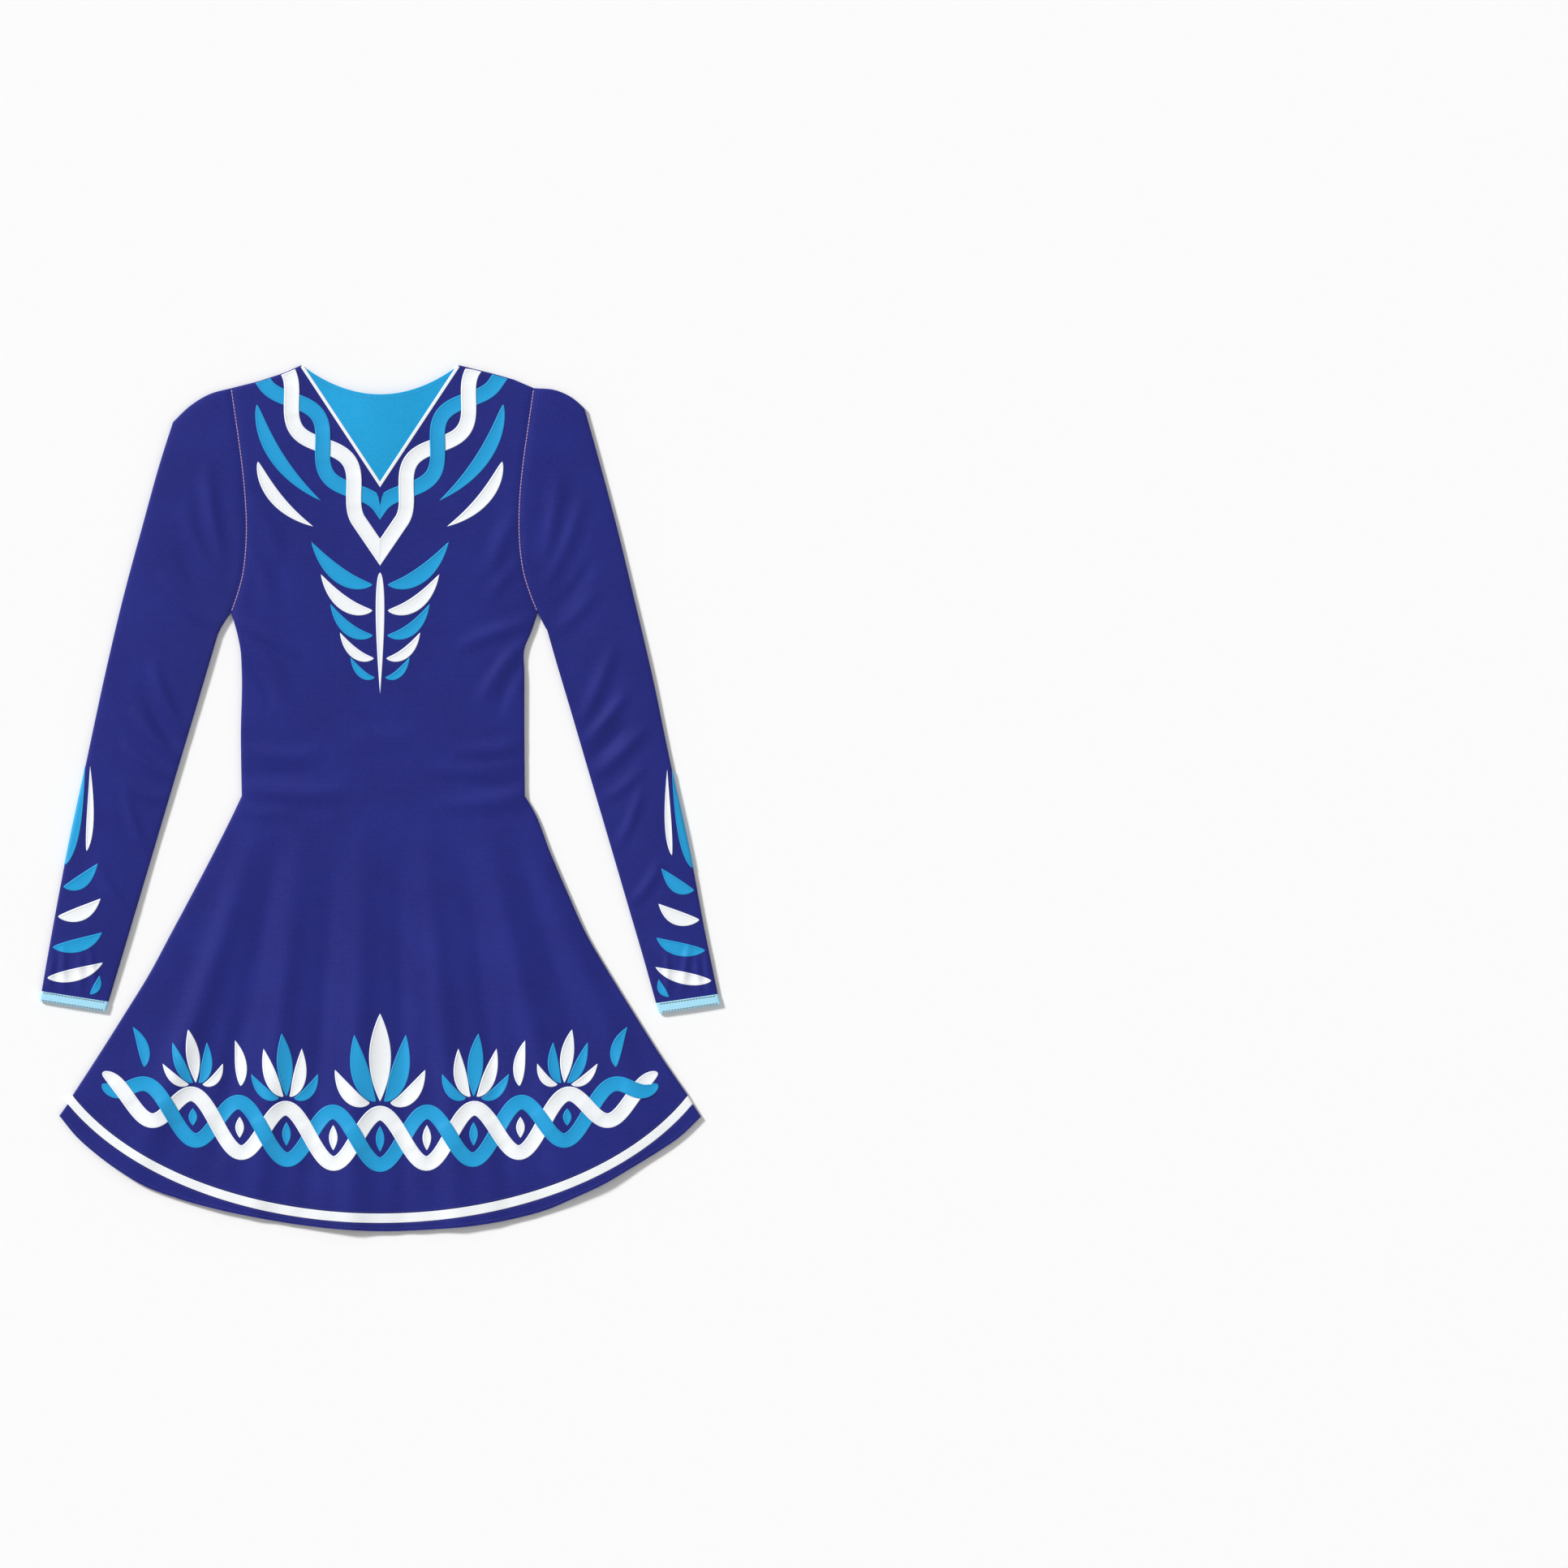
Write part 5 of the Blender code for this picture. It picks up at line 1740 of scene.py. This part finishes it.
@dataclass(frozen=True)
class Sewing:
    """The seams' stitching on one layer, and the white piping round its yoke."""

    form: Form
    finishes: Finishes
    layer: Layer
    seam: Stitching = Stitching(3.3, 3.5, 1.15, 0.5)
    topstitch: Stitching = Stitching(2.4, 3.1, 0.55, 0.32)
    piping_half: float = 1.7
    hem_allowance: float = 3.2
    neck_allowance: float = 4.5
    zip_clear: float = 5.0  # half of what stays clear for the zip on the back
    stripe_aside: float = 1.6
    stripe_clear: float = 6.0  # what stays free of stitches at both ends of a row
    neck_clear: float = 9.0

    def armholes(self, ground: Ground) -> list[Surface]:
        """A covering stitch over both armhole seams."""
        lines = [spline(self.form.cut.armhole(side), np.linspace(0.004, 0.996, 90)) for side in Side]
        return [self.seam.surface(line, ground) for line in lines]

    def hem_lines(self) -> list[Array]:
        """Rows of stitches along the hem, and along both edges of the stripe."""
        cut = self.form.cut
        hem = spline(np.array(cut.hem, float), np.linspace(0.012, 0.988, 200))
        lines = [shifted(hem, self.hem_allowance)]
        for arc, aside in ((cut.stripe_lower, -self.stripe_aside), (cut.stripe_upper, self.stripe_aside)):
            x = np.linspace(-arc.end_x + self.stripe_clear, arc.end_x - self.stripe_clear, 160)
            lines.append(shifted(np.stack([x, arc.height(x)], axis=-1), aside))
        return lines

    def neck_line(self) -> Array:
        """A row of stitches below the neck edge."""
        cut = self.form.cut
        x = np.linspace(-cut.neck_half_width + self.neck_clear, cut.neck_half_width - self.neck_clear, 60)
        return shifted(np.stack([x, cut.neck(x)], axis=-1), -self.neck_allowance)

    def piping(self, ground: Ground) -> list[Surface]:
        """A narrow satin strip over the yoke's seam, mitred at its tip."""
        cut = self.form.cut
        end = np.array([0.0, cut.yoke_tip])
        corner = np.array([-cut.neck_half_width, cut.length])
        run = end - corner
        last = 1.0 if self.layer is Layer.FRONT else 1 - self.zip_clear / run[0]
        line = corner + run * np.linspace(0.008, last, 60)[:, None]
        mitre = (0.0, run[1] / run[0])
        half = strip(line, self.piping_half, mitre=mitre, stitched_ends=(True, False))
        return [stroke.surface(ground) for stroke in (half, half.mirrored())]

    def make(self, ground: Ground) -> list[Object]:
        """Builds the layer's stitching and piping."""
        name, finishes = self.layer.value, self.finishes
        hem = [self.topstitch.surface(line, ground) for line in self.hem_lines()]
        neck = [self.topstitch.surface(self.neck_line(), ground)]
        rows = (
            ("armhole_stitches", self.armholes(ground), finishes.mauve_thread, "dress_knit"),
            ("hem_stitches", hem, finishes.navy_thread, "dress_knit"),
            ("neck_stitches", neck, finishes.sky_thread, "yoke_knit"),
            ("yoke_piping", self.piping(ground), finishes.white_satin, "stripe_knit"),
        )
        return [make_piece(f"{name}_{part}", joined(found), look, slot) for part, found, look, slot in rows]


@dataclass(frozen=True)
class Applique:
    """Satin shapes laid on one ground, one piece for each colour."""

    name: str
    ground: Ground
    finishes: Finishes
    strokes: Strokes

    def make(self) -> list[Object]:
        """Builds the white piece and the sky piece."""
        looks = {
            Colour.WHITE: (self.finishes.white_satin, "stripe_knit"),
            Colour.SKY: (self.finishes.sky_satin, "yoke_knit"),
        }
        made = []
        for colour, found in self.strokes.items():
            surfaces = [stroke.surface(self.ground) for stroke in found]
            made.append(make_piece(f"{self.name}_{colour.value}_applique", joined(surfaces), *looks[colour]))
        return made


COIL_STEPS = 12  # points round a turn of the coil
WIRE_SIDES = 6  # faces round its wire


@dataclass(frozen=True)
class Zip:
    """The back neck's zip: two tapes with a nylon coil each, closed, and the stop at their foot."""

    form: Form
    finishes: Finishes
    foot: float = 708.2
    head: float = 852.6
    tape_inner: float = 0.35
    tape_outer: float = 4.2
    tape_depth: float = 0.75  # the tape's outer face lies this far above the back's own
    tape_wall: float = 0.5
    pitch: float = 1.3
    coil_middle: float = 0.8
    coil_across: float = 1.05
    coil_high: float = 0.52
    wire: float = 0.2
    stop: tuple[float, float, float] = (5.2, 2.6, 1.1)
    stitch: Stitching = Stitching(2.4, 3.1, 0.55, 0.32)
    stitch_aside: float = 6.0
    stitch_below: float = 2.5  # the row across the foot lies this far below the tapes
    stitch_end: float = 46.0  # the rows beside the tapes end this far below the neck points

    def tape(self, sign: int) -> Surface:
        """One half of the tape, a thin shell that follows the back."""
        x = sign * (self.tape_inner + (self.tape_outer - self.tape_inner) * graded(3.85, 4))
        y = np.linspace(self.foot, self.head, 70)
        plan = np.stack(np.meshgrid(x, y), axis=-1)
        low = self.form.bottom(plan) + self.tape_depth
        grids = [at_height(plan, low + rise) for rise in (0.0, self.tape_wall)]
        grids[0][[0, -1], :, 2] += self.tape_wall / 2
        grids[0][:, [0, -1], 2] += self.tape_wall / 2
        return shell(*grids, plan)

    def coil(self, sign: int) -> Surface:
        """One row of the coil's turns: a ring of wire each, an oval of sines and cosines."""
        start = self.foot + 2.0 + (self.pitch / 2 if sign > 0 else 0.0)
        y = np.arange(start, self.head - 0.6, self.pitch)
        z = self.form.bottom(np.stack([0 * y + sign * self.coil_middle, y], axis=-1)) + self.tape_depth - 0.05
        turn = 2 * np.pi * np.arange(COIL_STEPS) / COIL_STEPS
        round_wire = 2 * np.pi * np.arange(WIRE_SIDES) / WIRE_SIDES
        ring = np.stack([np.cos(turn), np.sin(turn)], axis=-1)
        out = self.wire * np.cos(round_wire)
        across = (self.coil_across * ring[:, 0])[:, None] + np.outer(ring[:, 0], out)
        high = (self.coil_high * ring[:, 1])[:, None] + np.outer(ring[:, 1], out)
        aside = np.broadcast_to(self.wire * 1.3 * np.sin(round_wire), across.shape)
        lean = 0.25 * sign * across
        places = (
            sign * self.coil_middle + np.broadcast_to(across, (len(y), COIL_STEPS, WIRE_SIDES)),
            y[:, None, None] + aside + lean,
            z[:, None, None] + high,
        )
        points = np.stack(places, axis=-1)
        count = COIL_STEPS * WIRE_SIDES
        every = repeated(grid_faces(COIL_STEPS + 1, WIRE_SIDES, closed=True) % count, count, len(y))
        uv = np.stack([points[..., 1], points[..., 0]], axis=-1).reshape(-1, 2)
        return facing_out(Surface(points.reshape(-1, 3), every, uv))

    def foot_stop(self) -> Surface:
        """The moulded stop across the foot of both coils, a rounded block as a superellipse."""
        wide, long, high = self.stop
        sides, levels = 24, 9
        turn = np.linspace(0, 2 * np.pi, sides, endpoint=False)
        level = np.linspace(-1, 1, levels)
        ring = [np.sign(part(turn)) * np.abs(part(turn)) ** 0.5 for part in (np.cos, np.sin)]
        shrink = np.maximum(1 - np.abs(level) ** 4, 0.02) ** 0.25
        x = wide / 2 * np.outer(shrink, ring[0])
        y = self.foot + long / 2 + 0.3 + long / 2 * np.outer(shrink, ring[1])
        z = self.tape_depth + 0.1 + high / 2 * np.broadcast_to(level[:, None], x.shape)
        points = np.stack([x, y, z], axis=-1).reshape(-1, 3)
        half = np.arange(sides // 2 - 1)
        low = np.stack([half, half + 1, sides - 2 - half, (sides - 1 - half) % sides], axis=-1)
        ends = [low[:, ::-1], low + (levels - 1) * sides]
        faces = np.concatenate([grid_faces(levels, sides, closed=True), *ends])
        return facing_out(Surface(points, faces, points[:, :2]))

    def make(self, ground: Ground) -> list[Object]:
        """Builds the tapes, the coils, the stop and the stitching beside them."""
        finishes = self.finishes
        y = np.linspace(self.foot + 1, self.form.cut.length - self.stitch_end, 60)
        lines = [np.stack([0 * y + sign * self.stitch_aside, y], axis=-1) for sign in (-1, 1)]
        low = self.foot - self.stitch_below
        foot = np.array([[-self.stitch_aside, low], [self.stitch_aside, low]])
        lines.append(foot[0] + (foot[1] - foot[0]) * np.linspace(0, 1, 12)[:, None])
        stitches = [self.stitch.surface(line, ground) for line in lines]
        rows = (
            ("zip_tapes", [self.tape(-1), self.tape(1)], finishes.zip_tape, "zip_tape", ("zip_chain",)),
            ("zip_coils", [self.coil(-1), self.coil(1)], finishes.coil, "zip_tape", ()),
            ("zip_foot_stop", [self.foot_stop()], finishes.enamel, "zip_enamel", ()),
            ("zip_stitches", stitches, finishes.navy_thread, "dress_knit", ()),
        )
        made = [make_piece(name, joined(found), look, slot, nodes) for name, found, look, slot, nodes in rows]
        for node in ("zip_slider", "zip_pull_tab"):
            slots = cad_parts[node].data.materials
            slots.clear()
            slots.append(finishes.enamel)
        return made


# The studio


@dataclass(frozen=True)
class Studio:
    """A pale floor, a camera that looks straight down as the drawing does, and soft light.

    The camera stands so far off that the dress shows without perspective, as it does in a flat drawing.
    """

    finishes: Finishes
    picture_width: float = 1642.2  # what the picture's width covers
    aim: Point = (422.9, 14.9)  # the picture's middle, from the frame's origin
    camera_height: float = 30000.0
    film_width: float = 36.0
    floor_height: float = -1.25
    floor_size: float = 60000.0

    def floor(self) -> Object:
        """The floor, one plain face."""
        half = self.floor_size / 2
        corners = np.array([[-half, -half], [half, -half], [half, half], [-half, half]]) + np.array(self.aim)
        points = np.concatenate([corners, np.full((4, 1), self.floor_height)], axis=1) * MM
        mesh = bpy.data.meshes.new("floor")
        mesh.from_pydata(points.tolist(), [], [(0, 1, 2, 3)])
        mesh.materials.append(self.finishes.floor)
        floor = linked("floor", mesh)
        return floor

    def camera(self) -> None:
        """A camera above the picture's middle: its lens is to its height as the film to the picture."""
        lens = bpy.data.cameras.new("camera")
        lens.sensor_width = self.film_width
        lens.lens = self.film_width * self.camera_height / self.picture_width
        camera = linked("camera", lens)
        camera.location = (self.aim[0] * MM, self.aim[1] * MM, self.camera_height * MM)
        bpy.context.scene.camera = camera

    def light(self, name: str, from_place: tuple[float, float, float], softness: float, power: float) -> None:
        """An even soft light from a direction.

        Args:
            name: the light's name.
            from_place: a point that the light shines from, towards the dress.
            softness: the angle that the light fills, in degrees.
            power: its strength.
        """
        lamp = bpy.data.lights.new(name, "SUN")
        lamp.angle = np.radians(softness)
        lamp.energy = power
        made = linked(name, lamp)
        made.location = from_place
        made.rotation_euler = (-made.location).to_track_quat("-Z", "Y").to_euler()

    def make(self) -> None:
        """Sets up the whole studio; the plain view transform keeps the cloth's colours as they are."""
        self.floor()
        self.camera()
        self.light("key", (-2.2, 1.7, 1.7), 10.0, 3.3)
        self.light("fill", (2.6, -1.6, 2.6), 40.0, 0.25)
        world = bpy.data.worlds.new("room")
        world.use_nodes = True
        sky = world.node_tree.nodes["Background"]
        sky.inputs["Color"].default_value = (1.0, 1.0, 1.0, 1.0)
        sky.inputs["Strength"].default_value = 0.4
        bpy.context.scene.world = world
        bpy.context.scene.view_settings.view_transform = "Standard"


def main() -> None:
    """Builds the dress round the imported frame."""
    logging.basicConfig(level=logging.INFO, format="%(name)s %(message)s")
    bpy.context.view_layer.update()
    finishes = Finishes()
    form = Form()
    made = []
    body = Body(form, finishes)
    for layer in (Layer.BACK, Layer.FRONT):
        made += body.make(layer)
    for side in Side:
        sleeve = Sleeve(form, finishes, side)
        made += [*sleeve.make(), sleeve.stitches()]
    for layer in Layer:
        ground = body_ground(form, layer)
        made += Sewing(form, finishes, layer).make(ground)
        chest = ChestTrim() if layer is Layer.FRONT else ChestTrim(opening=5.6)
        made += Applique(f"{layer.value}_chest", ground, finishes, chest.strokes()).make()
        made += Applique(f"{layer.value}_hem", ground, finishes, HemTrim().strokes()).make()
    made += Zip(form, finishes).make(body_ground(form, Layer.BACK))
    for side in Side:
        ground = sleeve_ground(form, side, form.cut.cap_rows - 1, form.cut.cuff_row)
        made += Applique(f"{side.name.lower()}_sleeve", ground, finishes, SleeveTrim().strokes()).make()
    Studio(finishes).make()
    log.info("%d pieces", len(made))


if __name__ == "__main__":
    main()
